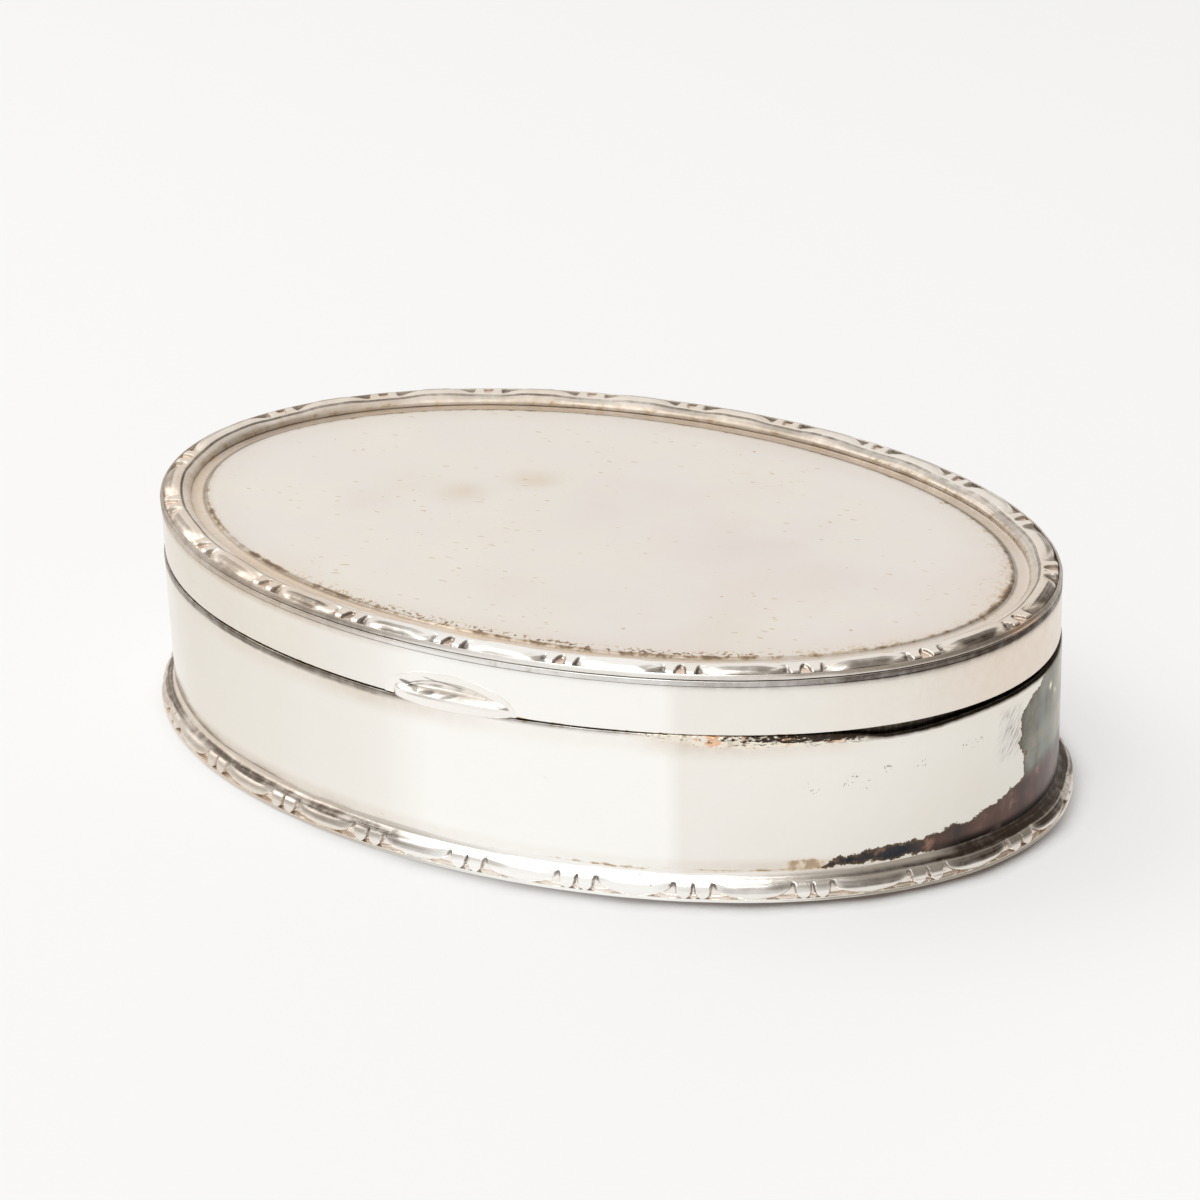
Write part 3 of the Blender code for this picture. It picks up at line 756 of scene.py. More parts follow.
def makePanelMaterial():
    # clouded silver with pink patches, smudges, nicks that lie one way, and crumbs of dirt beside the edge
    look = panelLook
    material, wear, place, layer = startMaterial("rubbedPanel", 0.06)
    pinkPatch = noise(place, 42.0, 4.0, 0.6)
    clean = blend(fade(wear["Clouds"], 0.38, 0.62), look["silver"], look["cream"])
    clean = blend(fade(pinkPatch + layer("toRight"), 0.42, 0.85), clean, look["pink"])
    patchy = fade(pinkPatch, 0.3, 0.62)
    clean = blend(layer("flush") * patchy, clean, look["flush"])
    clean = blend(layer("smudge") * patchy, clean, look["smudge"])
    # painted reflection: the sheet's side is painted near white
    clean = blend(layer("polish"), clean, look["edge"])
    uneven = wear["Fine"] * 1.5 + wear["Clouds"] * 0.8 - 1.15
    depth = tarnishDepth(wear, layer, uneven, 0.35, 0.95, 0.26)
    nicks = streaks(place, (0.0016, 0.0005), 1.0, turn=0.15, kind="TEXTURE")
    nicks = fade(nicks + wear["Clouds"] * 0.3, 0.83, 0.92)
    depth = most(depth, nicks * 0.22)
    crumbs = fade(noise(place, 2300.0) + wear["Fine"] * 0.6, 0.82, 0.92, 0.0, 0.6)
    depth = most(depth, crumbs * layer("crumbs"))
    color, soiled = tarnished(wear, layer, clean, depth)
    rough = roughOf(wear, look) + soiled * 0.2 - layer("polish") * 0.22
    height = wear["Fine"] * 0.25 - wear["Scratches"] * 0.3 - (wear["Specks"] + nicks * 0.4)
    return finishMetal(material, color, rough, height)


wallLook = {
    # the near white colour here is used for painted reflection
    "silver": (0.765, 0.72, 0.645), "warm": (0.755, 0.695, 0.605), "polished": (0.995, 0.985, 0.955),
    "copper": (0.86, 0.56, 0.37), "flecks": (0.93, 0.86, 0.74), "soot": (0.06, 0.045, 0.035),
    "scuff": (0.42, 0.385, 0.36), "roughLow": 0.15, "roughHigh": 0.24,
}

stainLook = {
    # colours of the dark patch, from its tail to the right end, where the paler tones are a painted reflection on real
    # tarnish
    "tones": [(0.0, (0.035, 0.037, 0.045)), (0.22, (0.075, 0.062, 0.057)), (0.42, (0.15, 0.088, 0.075)),
              (0.56, (0.15, 0.14, 0.115)), (0.7, (0.24, 0.23, 0.185)), (0.85, (0.36, 0.34, 0.275)),
              (1.0, (0.62, 0.59, 0.52))],
    "rim": (0.13, 0.095, 0.06), "root": (0.015, 0.012, 0.01), "ember": (0.42, 0.25, 0.16),
    "teal": (0.22, 0.27, 0.26),
}


def makeWallMaterial(name, stained):
    # silver, painted near white where it has a painted reflection; the base's wall also has pits, scuffs, a worn rim
    # and the dark patch
    look = wallLook
    material, wear, place, layer = startMaterial(name, 0.006)
    clean = blend(fade(wear["Clouds"], 0.4, 0.75), look["silver"], look["warm"])
    clean = blend(layer("polish"), clean, look["polished"])
    clean = blend(layer("blush"), clean, grimeLook["blush"])
    uneven = wear["Fine"] * 1.5 + wear["Clouds"] * 0.8 - 1.15
    color, soiled = tarnished(wear, layer, clean, tarnishDepth(wear, layer, uneven, 0.35, 0.95, 0.3))
    rough = roughOf(wear, look) + soiled * 0.2
    height = wear["Fine"] * 0.1 - wear["Scratches"] * 0.12 - wear["Specks"] * 0.8
    if not stained:
        return finishMetal(material, color, rough, height)
    flow = addNode(wear.tree, "UVMap", uv_map="flow")
    rowPits = fade(noise(place, 4000.0, 1.0), 0.62, 0.68) * layer("pitRow")
    color = blend(rowPits * 0.5, color, look["soot"])
    strokes = streaks(flow, (0.0016, 0.00022), 3.0, turn=0.85, kind="TEXTURE")
    color = blend(fade(strokes, 0.48, 0.62, 0.12, 0.9) * layer("scuff"), color, look["scuff"])
    # worn rim: flecks of bright plate, of bare copper and of soot
    worn = layer("worn")
    flecks, broadFlecks = streaks(flow, (1500.0, 4200.0), 3.0, 0.6), noise(flow, 420.0, 3.0, 0.6)
    color = blend(fade(broadFlecks, 0.36, 0.46) * worn, color, look["flecks"])
    color = blend(fade(broadFlecks, 0.52, 0.58) * worn, color, look["copper"])
    color = blend(fade(flecks + (layer("sooty") - 0.25), 0.44, 0.56) * worn, color, look["soot"])
    # dark patch at the right end: a ragged outline with a brown rim, and tones that change along it and grow paler at
    # the right end as a painted reflection
    ragged, mottle = noise(place, 900.0, 6.0, 0.72), noise(place, 320.0, 5.0, 0.6)
    runs = streaks(flow, (480.0, 70.0), 3.0)
    away = layer("stain") + (ragged - 0.5) * 2.2
    tones = ramp(layer("tone") + (mottle * 0.5 + runs * 0.4 - 0.45) * 1.1, stainLook["tones"])
    patch = blend(fade(runs, 0.5, 0.66, 0.0, 0.5) * layer("upper"), tones, stainLook["teal"])
    patch = blend(fade(mottle, 0.57, 0.68) * 0.55, patch, stainLook["ember"])
    patch = blend(fade(away, 0.4, 0.1), patch, stainLook["rim"])
    patch = blend(layer("root") * fade(mottle, 0.3, 0.5), patch, stainLook["root"])
    inside = fade(away, 0.0, 0.07)
    # the dents are painted as bright spots, a painted highlight
    color = blend(layer("dent"), blend(inside, color, patch), look["flecks"])
    return finishMetal(material, color, rough + most(inside, worn) * 0.1, height + flecks * worn * 1.5 - rowPits)


borderLook = {"silver": (0.9, 0.87, 0.82), "warm": (0.87, 0.82, 0.75), "roughLow": 0.13, "roughHigh": 0.24}


def makeBorderMaterial():
    # bright silver that dulls where it is soiled and where shade is painted on it, and is painted near white where it
    # has a painted reflection
    look = borderLook
    material, wear, place, layer = startMaterial("galleryWire", 0.03)
    clean = blend(fade(wear["Clouds"], 0.35, 0.7), look["silver"], look["warm"])
    clean = blend(layer("polish"), clean, wallLook["polished"])
    clean = blend(layer("blush"), clean, grimeLook["blush"])
    uneven = wear["Fine"] * 1.3 + wear["Brushed"] * 0.5 - 0.9
    color, soiled = tarnished(wear, layer, clean, tarnishDepth(wear, layer, uneven, 0.3, 0.9, 0.5))
    color = blend(layer("copper") * fade(wear["Brushed"], 0.42, 0.55), color, wallLook["copper"])
    rough = roughOf(wear, look) + soiled * 0.34 + layer("matt") * 0.2
    height = wear["Fine"] * 0.25 - wear["Scratches"] * 0.15 + wear["Brushed"] * 0.15
    return finishMetal(material, color, rough, height, 0.00004)


# plain inner and back parts: colour, depth of tarnish and roughness
dullLook = {
    "innerPlate": ((0.8, 0.76, 0.7), 0.5, 0.3),
    "hingePlate": ((0.84, 0.81, 0.76), 0.45, 0.24),
    "pinWire": ((0.66, 0.64, 0.61), 0.3, 0.28),
}


def makeDullMaterial(name):
    # clouded, a little tarnished and scratched
    silver, tarnish, roughness = dullLook[name]
    material, wear, place, layer = startMaterial(name, 0.08, flowFromUv=False)
    clean = blend(fade(wear["Clouds"], 0.35, 0.7), silver, [value * 0.93 for value in silver])
    depth = fade(wear["Clouds"] * 0.9 + wear["Fine"] * 0.35, 0.55, 1.1, 0.0, tarnish)
    color = tarnished(wear, layer, clean, most(depth, wear["Specks"] * 0.5))[0]
    rough = fade(wear["Clouds"], 0.3, 0.7, roughness, roughness + 0.14)
    return finishMetal(material, color, rough, wear["Fine"] * 0.3 - wear["Scratches"] * 0.4)


print("finishes made")


# amounts round the oval, in degrees and hundredths, for each place: tarnish, tan film and dirt, and also painted shade
# and dark painted reflection on the wire's crest, bead, groove and pits, in the foot's cove, on its facets and lower
# edge, under the lid at the base's rim, in the gap and on the back slope, and painted reflection where the metal is
# painted near white; one table is a height
tarnishRound = {
    "moatLine": [(-180, 40), (-160, 40), (-149, 80), (-138, 75), (-134, 30), (-130, 85), (-123, 80), (-119, 30),
        (-113, 80), (-106, 50), (-94, 62), (-84, 72), (-60, 66), (-46, 60), (-34, 70), (-20, 50), (-5, 70),
        (18, 70), (35, 60), (48, 70), (58, 60), (90, 50), (130, 70), (160, 60), (180, 40)],
    "moatShade": [(-180, 30), (-119, 34), (-106, 40), (-98, 26), (-92, 10), (-84, 20), (-60, 20), (-40, 10),
        (-20, 20), (20, 40), (60, 42), (120, 42), (180, 30)],
    "crumbs": [(-180, 10), (-128, 15), (-112, 50), (-100, 80), (-75, 100), (-58, 90), (-45, 45), (-25, 20), (0, 35),
        (20, 35), (60, 10), (180, 10)],
    "borderFilm": [(-180, 50), (-130, 55), (-119, 65), (-108, 62), (-100, 35), (-94, 12), (-66, 10), (-52, 20),
        (-40, 30), (-15, 50), (0, 55), (30, 40), (60, 30), (120, 40), (180, 50)],
    "lidFilm": [(-180, 12), (-112, 12), (-98, 0), (-62, 5), (-40, 12), (-16, 33), (10, 33), (40, 20), (180, 12)],
    "rimLow": [(-180, 1645), (-138, 1645), (-112, 1660), (-100, 1660), (-92, 1690), (-77, 1698), (-60, 1698),
        (-57, 1670), (-53, 1652), (-49, 1665), (-45.5, 1682), (-42, 1670), (-39, 1630), (180, 1645)],
    "rimGrime": [(-180, 60), (-138, 60), (-112, 64), (-103, 55), (-98, 45), (-88, 35), (-77, 50), (-68, 50),
        (-62, 45), (-57, 55), (-53, 66), (-46, 74), (-41, 92), (-39, 0), (60, 0), (90, 30), (180, 60)],
    "moatFilm": [(-180, 70), (-119, 80), (-106, 85), (-96, 70), (-84, 65), (-69, 70), (-55, 50), (-39, 30),
        (-20, 30), (0, 32), (20, 35), (32, 60), (60, 75), (90, 60), (150, 70), (180, 70)],
    "slopeFilm": [(-180, 60), (-119, 65), (-106, 50), (-84, 40), (-69, 30), (-39, 25), (-20, 40), (18, 50),
        (32, 70), (90, 65), (150, 60), (180, 60)],
    "crest": [(-180, 25), (-150, 28), (-119, 25), (-112, 40), (-107, 70), (-100, 45), (-92, 22), (-86, 0), (-64, 0),
        (-58, 20), (-52, 40), (-45, 45), (-34, 42), (-20, 70), (-5, 65), (10, 45), (40, 20), (90, 20), (150, 25),
        (180, 25)],
    "bead": [(-180, 25), (-150, 30), (-119, 28), (-106, 35), (-100, 25), (-96, 15), (-90, 5), (-66, 5), (-56, 12),
        (-40, 8), (-28, 15), (-20, 30), (0, 35), (15, 30), (40, 25), (180, 25)],
    "groove": [(-180, 20), (-119, 10), (-96, 8), (-69, 15), (-60, 40), (-52, 60), (-45, 85), (-40, 100), (-28, 100),
        (-22, 60), (-18, 50), (-12, 80), (0, 90), (20, 80), (50, 50), (90, 40), (180, 20)],
    "solder": [(-180, 12), (-119, 8), (-84, 10), (-69, 15), (-55, 30), (-39, 60), (-20, 85), (-10, 80), (5, 60),
        (20, 40), (60, 20), (180, 12)],
    "pits": [(-180, 30), (-140, 30), (-120, 45), (-110, 80), (-105, 100), (-25, 100), (0, 90), (25, 50), (60, 25),
        (150, 25), (180, 50)],
    "cove": [(-180, 55), (-150, 58), (-138, 45), (-128, 62), (-121, 70), (-108, 70), (-98, 68), (-95.5, 40),
        (-93, 6), (-60, 3), (-50, 10), (-42, 40), (-37, 50), (-30, 75), (-24, 90), (-15, 97), (0, 95), (15, 85),
        (40, 60), (90, 45), (180, 55)],
    "coveReach": [(-180, 125), (-128, 120), (-100, 135), (-95.5, 120), (-92, 90), (-36, 85), (-30, 95), (-24, 105),
        (-15, 115), (20, 115), (50, 110), (180, 125)],
    "facet": [(-180, 15), (-121, 15), (-108, 25), (-98, 40), (-94, 20), (-88, 0), (-66, 0), (-62, 15), (-54, 20),
        (-45, 35), (-37, 42), (-28, 60), (-15, 85), (0, 70), (20, 50), (60, 30), (180, 15)],
    "footFilm": [(-180, 40), (-138, 40), (-121, 45), (-108, 40), (-98, 20), (-90, 0), (-50, 4), (-42, 10),
        (-34, 18), (-20, 25), (0, 35), (60, 50), (180, 60)],
    "footEdge": [(-180, 30), (-121, 40), (-98, 45), (-82, 50), (-66, 60), (-54, 70), (-37, 90), (-15, 95), (20, 80),
        (60, 40), (180, 30)],
    "gap": [(-180, 50), (-140, 60), (-112, 62), (-100, 66), (-77, 72), (-60, 72), (-52, 80), (-42, 90), (-36, 100),
        (20, 100), (60, 70), (120, 60), (180, 50)],
    "rimFilm": [(-180, 20), (-112, 25), (-103, 50), (-94, 35), (-84, 10), (-68, 15), (-62, 50), (-56, 50),
        (-50, 35), (-42, 25), (-37, 10), (180, 20)],
    "wallFilm": [(-180, 20), (-138, 30), (-121, 35), (-108, 30), (-98, 20), (-84, 6), (-66, 10), (-55, 30),
        (-45, 35), (-35, 20), (180, 20)],
    # painted reflection: how near white the metal is painted, most at the front left
    "polish": [(-180, 0), (-138, 2), (-128, 20), (-112, 44), (-106, 50), (-100, 62), (-97, 80), (-93, 100),
        (-64.6, 100), (-62.4, 62), (-45, 54), (-33, 42), (-20, 28), (40, 20), (180, 0)],
    "underFilm": [(-180, 30), (-165, 50), (-119, 65), (-108, 55), (-100, 20), (-94, 0), (150, 0), (180, 30)],
    "matt": [(-180, 100), (-145, 100), (-122, 70), (-112, 20), (-106, 0), (5, 0), (30, 60), (60, 100), (180, 100)],
    "backSlope": [(-180, 10), (-130, 0), (-5, 0), (15, 10), (32, 27), (60, 27), (90, 15), (130, 8), (180, 10)],
    "junction": [(-180, 40), (-165, 60), (-100, 60), (-94, 20), (-80, 30), (-76, 70), (-60, 65), (-50, 75),
        (-40, 40), (180, 40)],
}


def readLayers(item):
    # the layers that the piece has, and what each tarnish table gives at its vertices' angles
    own = SimpleNamespace(angle=0.0)
    for attribute in item.data.attributes:
        if attribute.data_type == "FLOAT":
            values = np.empty(len(item.data.vertices), np.float32)
            attribute.data.foreach_get("value", values)
            setattr(own, attribute.name, values.astype(float))
    around = {key: alongTable(own.angle, np.array(table) / (1, 100)) for key, table in tarnishRound.items()}
    return own, SimpleNamespace(**around)


def bandOf(value, low, high, soft):
    # 1 between low and high, and 0 outside them
    return smoothStep(low - soft, low + soft, value) * smoothStep(high + soft, high - soft, value)


def mostOf(*values):
    # the greatest of several layers, vertex by vertex
    return np.maximum.reduce(values)


def addLayers(item, **layers):
    # writes values for each vertex, or one value for all, as the piece's named layers
    for name, values in layers.items():
        attribute = item.data.attributes.get(name) or item.data.attributes.new(name, "FLOAT", "POINT")
        attribute.data.foreach_set("value", (values + np.zeros(len(item.data.vertices))).astype(np.float32))


lidBorder = makeLidBorder()
own, around = readLayers(lidBorder)
inset = own.inset
# the grime layer on the wire is dirt in part and in part painted shade and dark painted reflection: on the hulls'
# crest, the bead, in the groove, valley, crease and pits, and on the back slope, where it dims a glint
onHull = bandOf(inset, 0.32, 1.25, 0.1) * own.onTop * own.hull * (0.45 + 0.55 * own.middle)
onBead = bandOf(inset, -0.1, 0.34, 0.03) * (1 - np.maximum(own.middlePit, own.sidePit))
creaseShade = bandOf(inset, 2.1, 2.34, 0.04) * 0.45
valleyShade = bandOf(inset, 0.26, 0.42, 0.04) * own.onTop * around.groove
grooveShade = (1 - own.onTop) * smoothStep(0.04, 0.14, inset) * smoothStep(23.3, 23.1, own.height)
backSlope = smoothStep(2.0, 2.6, inset) * around.backSlope
addLayers(lidBorder, blush=own.middlePit * 0.85, deepest=0.4, polish=around.polish, matt=around.matt,
          film=mostOf(smoothStep(2.1, 3.0, inset) * around.slopeFilm, around.borderFilm),
          grime=mostOf(onHull * around.crest, onBead * around.bead, grooveShade * around.groove * 0.6, creaseShade, valleyShade,
                       backSlope, own.sidePit * around.pits * 0.5, own.outline * around.pits * 0.55),
          tarnish=smoothStep(2.5, 3.1, inset) * 0.5,
          copper=bandOf(own.angle, -13, -5, 2) * bandOf(inset, -0.1, 0.3, 0.05) * 0.8)
print("lid border made")

footBorder = makeFoot()
own, around = readLayers(footBorder)
outset, height, inPit = own.outset, own.height, np.maximum(own.middlePit, own.sidePit)
# the grime layer on the foot is in part painted shade and dark painted reflection: in the cove, on the hulls' upper
# facets, in the pits, and along the lower edge, where it paints a contact shadow
cove = bandOf(outset, 0.4, around.coveReach, 0.14) * (height > 1.4)
cove = np.maximum(cove, (outset < 0.6) * (height > 1.6) * smoothStep(-30, -22, own.angle)) * around.cove
facet = bandOf(own.share, 0.48, 0.92, 0.08) * (0.4 + 0.6 * own.hull) * around.facet
addLayers(footBorder, copper=0.0, blush=inPit * 0.2, tarnish=own.outline * 0.3, deepest=0.4, polish=around.polish,
          matt=around.matt, film=around.footFilm + 0.35 * bandOf(outset, 0.1, 0.6, 0.1) * around.wallFilm,
          grime=mostOf(cove, facet, own.outline * 0.35 * around.pits,
                       inPit * smoothStep(0.5, 0.8, own.share) * 0.45 * around.pits,
                       smoothStep(0.2, 0.06, height) * around.footEdge))
print("foot made")

# small marks on the base's wall, in degrees and height: pits, and dents painted as bright spots, a painted highlight,
# which also have how much smaller they are
wallMarks = {
    "pits": [(-46.9, 12.0), (-45.9, 11.3), (-41.4, 11.5), (-40.4, 12.3), (-38.8, 11.3), (-35.7, 12.8),
             (-31.3, 12.6), (-30, 12.7), (-22.7, 13.3), (-21.2, 13.2), (-19.9, 13.25)],
    "dents": [(1.3, 14.4, 0), (4.1, 13.2, 0.1)],
}

baseWall = makeBaseWall()
own, around = readLayers(baseWall)
degrees, height, outer = own.angle, own.height, own.outer
left = smoothStep(-96, -102, degrees)
seam = bandOf(height, 3.3 * left + 2.62 * (1 - left), 3.55 * left + 2.95 * (1 - left), 0.1)
# painted shade on the base's wall just under the lid's edge
rimShade = smoothStep(around.rimLow - 0.15, around.rimLow + 0.2, height) * (height > 8) * around.rimGrime
rimDark = own.rimEdge * smoothStep(-41, -36, degrees) * smoothStep(60, 30, degrees)
golden = bandOf(degrees, -50, -44, 1.5) * bandOf(height, 2.6, 3.9, 0.3) * 0.7
film = smoothStep(4.3, 3.3, height) * around.wallFilm
upper = smoothStep(6.0, 8.0, height) * smoothStep(-13, -8, degrees)
# the patch's tone rises towards the right end, where it is in part a painted reflection
tone = 0.08 + 0.28 * smoothStep(-36, -24, degrees) + 0.3 * upper + 0.28 * smoothStep(-2, 12, degrees) * upper
tone = tone + 0.1 * smoothStep(12, 20, degrees)
pitAway = np.min([np.hypot((degrees - x) * 0.7, height - z) for x, z in wallMarks["pits"]], axis=0)
dentGlintAway = np.min([np.hypot((degrees - x) * 0.55, height - z) + more for x, z, more in wallMarks["dents"]], axis=0)
stain = np.minimum(own.stain, (height - 2.85) * 1.2 + 3 * smoothStep(-30, -22, degrees))
sooty = 0.1 * smoothStep(-50, -44, degrees) + 0.2 * smoothStep(16.3, 16.6, height) * smoothStep(-60, -52, degrees)
addLayers(baseWall, tarnish=mostOf(seam * around.junction, own.rimEdge * 0.4, golden), polish=around.polish,
          deepest=np.where(height > 8, 0.6, np.where(golden > 0.1, 0.4, 0.5)), tone=tone, upper=upper,
          film=np.maximum(film, smoothStep(14.2, 16.6, height) * around.rimFilm),
          grime=np.maximum(rimDark * 0.97, rimShade), blush=0.0, stain=stain - 20 * (1 - outer),
          root=smoothStep(3.7, 2.9, height) * bandOf(degrees, -27, 24, 5),
          pitRow=smoothStep(0.6, 0.25, pitAway) * outer, dent=smoothStep(0.42, 0.22, dentGlintAway) * outer,
          sooty=0.12 + sooty,
          scuff=bandOf(degrees, -15.4, -10, 1.0) * bandOf(height, 10.3, 15.2, 0.8) * outer)
print("base wall made")

lidWall = makeLidWall()
own, around = readLayers(lidWall)
height = own.height
fadeDown = np.exp(-np.clip(22.36 - height, 0, None) / 0.22) * (height < 22.4)
# the film near the wall's top is painted shade below the border
addLayers(lidWall, polish=around.polish, deepest=0.5, tarnish=smoothStep(17.5, 17.32, height) * 0.45,
          grime=fadeDown * around.solder, blush=smoothStep(-34, -12, own.angle) * 0.25,
          film=mostOf(around.lidFilm, smoothStep(21.3, 22.3, height) * around.underFilm))

# soft marks on the panel: x, y, reach in millimetres and how strong
panelMarks = {
    "brown": [(-23.2, 2.5, 2.6, 0.7), (-16.5, 1.6, 2.3, 0.95), (-12.0, 7.0, 2.2, 0.9),
              (-10.0, 7.8, 1.8, 0.7), (21.5, -16.2, 3.4, 0.35)],
    "pink": [(-24.5, -4.0, 3.2, 0.5), (-1.5, 2.6, 3.6, 0.5), (0.8, 8.1, 4.2, 0.55),
             (14.9, 1.1, 4.0, 0.8), (19.7, 2.4, 3.4, 0.65), (27.5, -1.7, 4.4, 0.5),
             (-0.8, -16.3, 4.4, 0.45), (-23.5, -19.2, 3.0, 0.2)],
}


def softMarks(x, y, marks):
    # the sum of round bumps, each exp(-(distance / reach)^2) times its strength
    return sum(amount * np.exp(-((x - markX) ** 2 + (y - markY) ** 2) / reach ** 2)
               for markX, markY, reach, amount in marks)


lidTop = makeLidTop()
own, around = readLayers(lidTop)
edgeAway, topSide = own.edgeAway, own.topSide
rimLine = bandOf(edgeAway, -0.3, 0.2, 0.12) * around.moatLine
rimShade = bandOf(edgeAway, -0.5, 0.05, 0.16) * around.moatShade * topSide
moatPlace = bandOf(edgeAway, -1.75, -0.05, 0.15)
sheetEdge = bandOf(edgeAway, -4.99, -4.72, 0.04)
lowEdge = bandOf(edgeAway, -4.99, -4.82, 0.03) * around.solder
# painted shade on the sheet: in the groove under the wire and on its outer edge; its side has the painted shade below
# the border and a painted reflection
grooveFloorShade = bandOf(edgeAway, -4.68, -4.1, 0.05) * topSide * around.groove
nearEdge = smoothStep(3.2, 0.2, edgeAway) * (edgeAway > 0)
sheetSide = bandOf(edgeAway, -5.2, -4.3, 0.03)
addLayers(lidTop, tarnish=mostOf(rimLine * topSide, moatPlace * 0.3 * topSide, 0.2 * (1 - topSide)), deepest=0.5,
          toRight=own.x / boxForm["halfLength"] * 0.16, smudge=softMarks(own.x, own.y, panelMarks["brown"]) * topSide,
          flush=softMarks(own.x, own.y, panelMarks["pink"]) * topSide, polish=sheetSide * around.polish,
          film=(moatPlace * around.moatFilm + nearEdge * 0.12) * topSide + sheetSide * around.underFilm,
          crumbs=bandOf(edgeAway, -0.4, 0.8, 0.4) * around.crumbs * topSide,
          grime=mostOf(grooveFloorShade, lowEdge, sheetEdge * 0.5 * around.bead, rimShade))
print("lid sheet made")


def markAlong(x, height, startX, startZ, endX, endZ, half, depth):
    # a soft lens-shaped mark between two places
    way = np.array((endX - startX, endZ - startZ))
    t = ((x - startX) * way[0] + (height - startZ) * way[1]) / (way @ way)
    near = np.clip(t, 0, 1)
    away = np.hypot(x - startX - near * way[0], height - startZ - near * way[1])
    return smoothStep(half, half * 0.3, away / np.sqrt(np.clip(4 * near * (1 - near), 0.05, 1))) * depth


thumbCatch = makeThumbpiece()
own = readLayers(thumbCatch)[0]
marks = [markAlong(own.x, own.height, *mark) for mark in thumbForm["marks"]]
# the catch is painted near white all over as a painted reflection; the marks in its hollow are dark
addLayers(thumbCatch, tarnish=own.scoop * 0.3, deepest=0.3, polish=0.85, blush=0.06, film=own.scoop * 0.12,
          grime=mostOf(*marks) * (own.height > 17.5))

innerCollar, baseFloor, hingePin = makeCollar(), makeBaseFloor(), makePin()
own, around = readLayers(innerCollar)
# painted shade where the collar shows through the gap under the lid
addLayers(innerCollar, grime=bandOf(own.height, 15.6, 17.7, 0.2) * around.gap * own.outer)
knuckles = [makeKnuckle(order) for order in range(len(hingeForm["tubes"]))]
baseBearer = makeBearer("baseHingeStrip", hingeForm["baseStrip"], True, (0, 2, 4))
lidBearer = makeBearer("lidHingeStrip", hingeForm["lidStrip"], False, (1, 3))
print("hinge and inner parts made")

panelSilver, borderSilver = makePanelMaterial(), makeBorderMaterial()
wallSilver, lidWallSilver = makeWallMaterial("bodyPlate", True), makeWallMaterial("lidPlate", False)
innerSilver, hingeSilver, pinSteel = [makeDullMaterial(name) for name in dullLook]

pieces = [
    (baseWall, "base", "base_wall", "wall_plate", wallSilver),
    (footBorder, "base", "foot_border", "border_wire", borderSilver),
    (innerCollar, "base", "base_collar", "inner_plate", innerSilver),
    (baseFloor, "base", "base_floor", "inner_plate", innerSilver),
    (baseBearer, "base", "base_hinge_bearer", "hinge_plate", hingeSilver),
    (hingePin, "base", "hinge_pin", "pin_wire", pinSteel),
    (lidWall, "lid", "lid_wall", "wall_plate", lidWallSilver),
    (lidTop, "lid", "lid_top", "lid_plate", panelSilver),
    (lidBorder, "lid", "lid_border", "border_wire", borderSilver),
    (thumbCatch, "lid", "thumbpiece", "wall_plate", lidWallSilver),
    (lidBearer, "lid", "lid_hinge_bearer", "hinge_plate", hingeSilver),
]
for tube, piece in zip(hingeForm["tubes"], knuckles):
    pieces.append((piece, tube.split("_")[0], tube, "hinge_plate", hingeSilver))
for piece, body, cadNode, slot, material in pieces:
    piece.data.materials.append(material)
    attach(piece, body)
    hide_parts(cadNode)


studio = {
    "background": 0.91, "roomBright": 0.93,
    # dim parts of the room: azimuth, elevation, where the dimming starts and is full (degrees), and how bright
    "dims": [(10, 36, 55, 46, 0.4), (205, 30, 40, 20, 0.65)],
    "roomColor": (1.0, 0.99, 0.975), "dimColor": (1.0, 0.86, 0.7),
    "floorColor": (0.93, 0.93, 0.925), "paperGlow": 0.97, "paperShare": 0.62, "glowColor": (1, 1, 0.995),
    "farGlow": 0.89, "seenNear": 0.955, "seenFar": 0.985, "shadeColor": (0.13, 0.105, 0.09),
    "contact": 0.0025,       # how far the painted contact shadow reaches on the paper, in metres
    "floorReach": 3000,
}


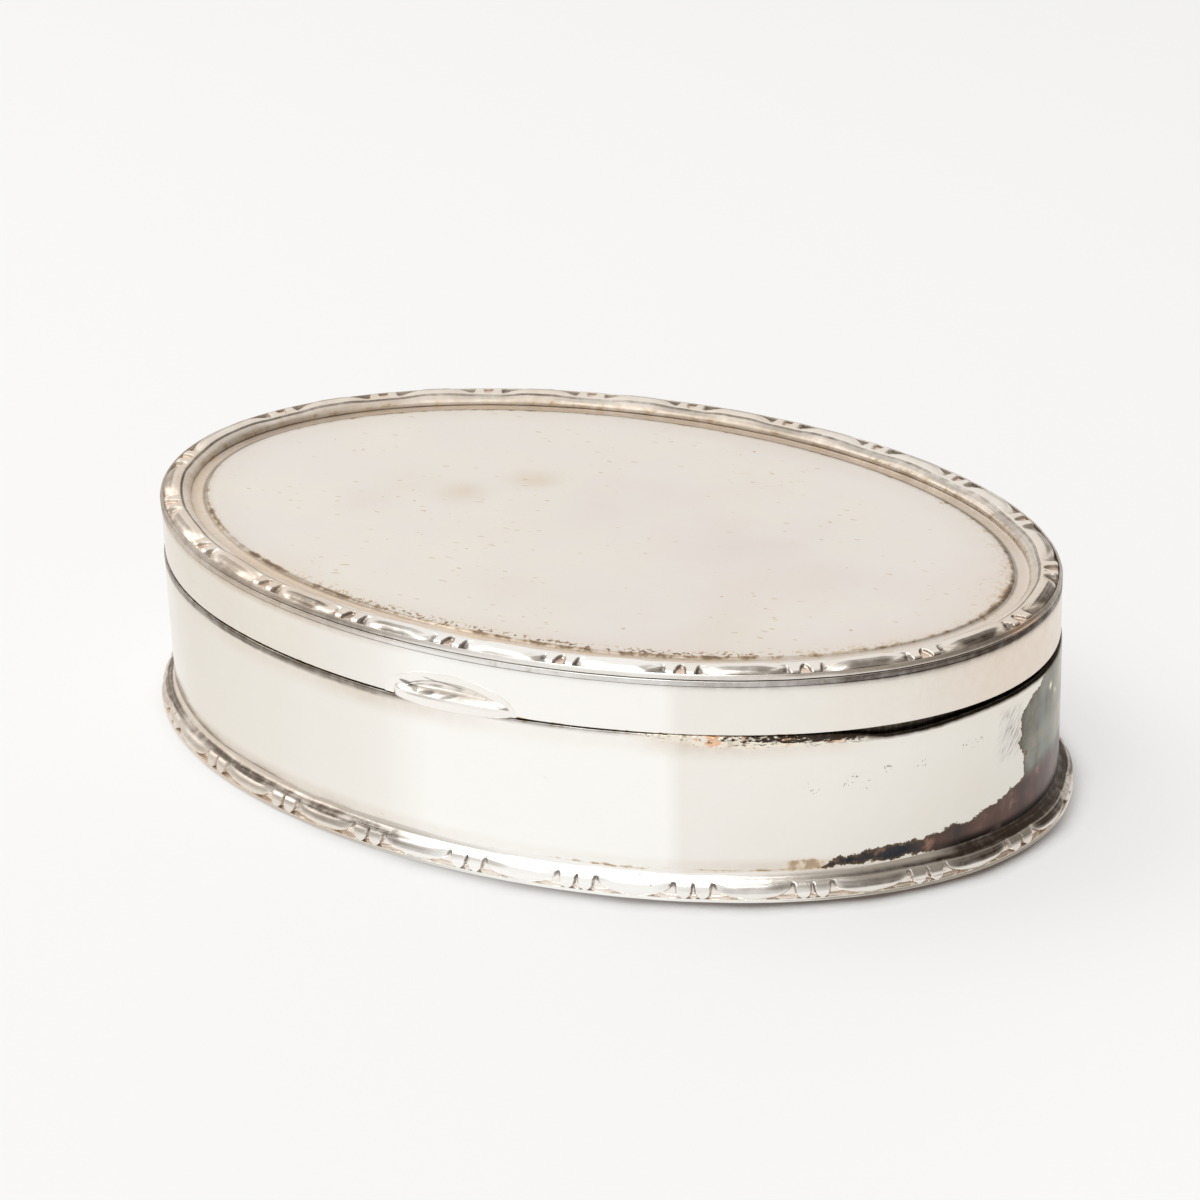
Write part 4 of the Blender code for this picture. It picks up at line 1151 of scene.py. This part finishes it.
def makeFloor():
    # a disc of paper: rings of radius k^2 about the box. The camera and reflections see it paler than it is lit,
    # with the box's shadow still on it, and the camera sees a painted contact shadow round the box
    turns = np.linspace(0, 2 * math.pi, 96, endpoint=False)[:, None]
    radius = (np.linspace(0, 1, 24)[None, 1:] ** 2) * studio["floorReach"]
    x, y = radius * np.cos(turns), radius * np.sin(turns)
    floor = gridMesh("paperFloor", x, y, 0 * x - 0.01, closedSection=False, poles=((0, (0, 0, -0.01)),))
    if floor.data.polygons[0].normal.z < 0:
        floor.data.flip_normals()
    material = bpy.data.materials.new("palePaper")
    material.use_nodes = True
    tree = material.node_tree
    shader = tree.nodes["Principled BSDF"]
    place = addNode(tree, "TexCoord", out="Object")
    low = [value * 0.985 for value in studio["floorColor"]]
    setInputs(shader, {"Base Color": blend(noise(place, 9.0), low, studio["floorColor"]), "Roughness": 1.0,
                       "Specular IOR Level": 0.0})
    where, path = addNode(tree, "SeparateXYZ", {"Vector": place}), addNode(tree, "LightPath")
    across, depthways, camera = where["X"], where["Y"], path["Is Camera Ray"]
    # a painted contact shadow: a dark glow mixed in where the box is near, stronger towards +X and weaker behind the
    # box, seen by the camera only; the paper right of the box is seen a little paler
    near = addNode(tree, "AmbientOcclusion", {"Distance": studio["contact"]}, "AO", samples=8)
    shade = fade(near, 0.97, 0.62) * fade(across, -0.03, 0.042, 0.05, 1.0)
    shade = shade * fade(depthways, -0.01, 0.01, 1.0, 0.4)
    paler = fade(depthways, 0.0, 0.5, studio["seenNear"], studio["seenFar"]) + fade(across, 0.04, 0.08, 0.0, 0.03)
    paper = fade(depthways, 0.0, 0.5, studio["paperGlow"], studio["farGlow"]) * (camera * paler + (1.0 - camera))
    glow = addNode(tree, "Emission", {"Strength": paper, "Color": studio["glowColor"]})
    share = most(camera, path["Is Glossy Ray"]) * studio["paperShare"]
    mixed = addNode(tree, "MixShader", {"Fac": share, 1: Signal(shader.outputs[0]), 2: glow})
    corner = addNode(tree, "Emission", {"Color": studio["shadeColor"]})
    shaded = addNode(tree, "MixShader", {"Fac": shade * camera, 1: mixed, 2: corner})
    setInputs(tree.nodes["Material Output"], {"Surface": shaded})
    floor.data.materials.append(material)


def makeWorld():
    # a pale room with two dim, warm sides; the camera itself sees plain paper
    world = bpy.data.worlds.new("paleRoom")
    scene.world = world
    world.use_nodes = True
    tree = world.node_tree
    way = addNode(tree, "TexCoord", out="Generated")
    light = 1.0
    for azimuth, elevation, start, full, bright in studio["dims"]:
        turn, tilt = math.radians(azimuth), math.radians(elevation)
        middle = (math.cos(turn) * math.cos(tilt), math.sin(turn) * math.cos(tilt), math.sin(tilt))
        facing = addNode(tree, "VectorMath", {0: way, 1: middle}, "Value", operation="DOT_PRODUCT")
        start, full = math.cos(math.radians(start)), math.cos(math.radians(full))
        light = light * fade(facing, start, full, 1.0, bright)
    seen = addNode(tree, "LightPath", out="Is Camera Ray")
    values = {"Factor": seen, 2: light * studio["roomBright"], 3: studio["background"]}
    strength = addNode(tree, "Mix", values, data_type="FLOAT")
    color = blend(seen, blend(light, studio["dimColor"], studio["roomColor"]), (1, 1, 1))
    setInputs(tree.nodes["Background"], {"Strength": strength, "Color": color})


lamps = {
    "leftSoftbox": {"place": (-0.55, -0.05, 0.6), "size": 0.5, "power": 2.0, "aim": (0, 0, 0.01)},
    "topSoftbox": {"place": (-0.02, -0.3, 0.7), "size": 0.3, "power": 1.1, "aim": (0, 0, 0.01)},
}


def makeLamps():
    # square softboxes, each turned to its aim
    for name, lamp in lamps.items():
        light = bpy.data.lights.new(name, "AREA")
        light.shape, light.size, light.energy = "SQUARE", lamp["size"], lamp["power"]
        item = bpy.data.objects.new(name, light)
        scene.collection.objects.link(item)
        item.location = lamp["place"]
        item.rotation_euler = (Vector(lamp["place"]) - Vector(lamp["aim"])).to_track_quat("Z", "Y").to_euler()


view = {
    "azimuth": 27.517, "elevation": 26.1614, "roll": -1.8488,      # degrees
    "distance": 373.69, "right": -0.378, "up": 12.94,               # millimetres
    "lens": 107.671,
}


def makeCamera():
    # the camera looks along -back, moved right and up in its own plane and rolled about its axis
    azimuth, elevation, roll = [math.radians(view[key]) for key in ("azimuth", "elevation", "roll")]
    level = math.cos(elevation)
    back = Vector((math.sin(azimuth) * level, -math.cos(azimuth) * level, math.sin(elevation)))
    side = Vector((math.cos(azimuth), math.sin(azimuth), 0))
    top = back.cross(side)
    right = side * math.cos(roll) + top * math.sin(roll)
    up = top * math.cos(roll) - side * math.sin(roll)
    place = (back * view["distance"] + right * view["right"] + up * view["up"]) * mm
    camera = bpy.data.objects.new("photoView", bpy.data.cameras.new("photoView"))
    camera.data.lens, camera.data.sensor_width = view["lens"], 36.0
    camera.data.clip_start = 0.01
    scene.collection.objects.link(camera)
    camera.matrix_world = Matrix.Translation(place) @ Matrix((right, up, back)).transposed().to_4x4()
    scene.camera = camera


makeFloor()
makeWorld()
makeLamps()
makeCamera()
scene.view_settings.view_transform = "Standard"
print("studio made")
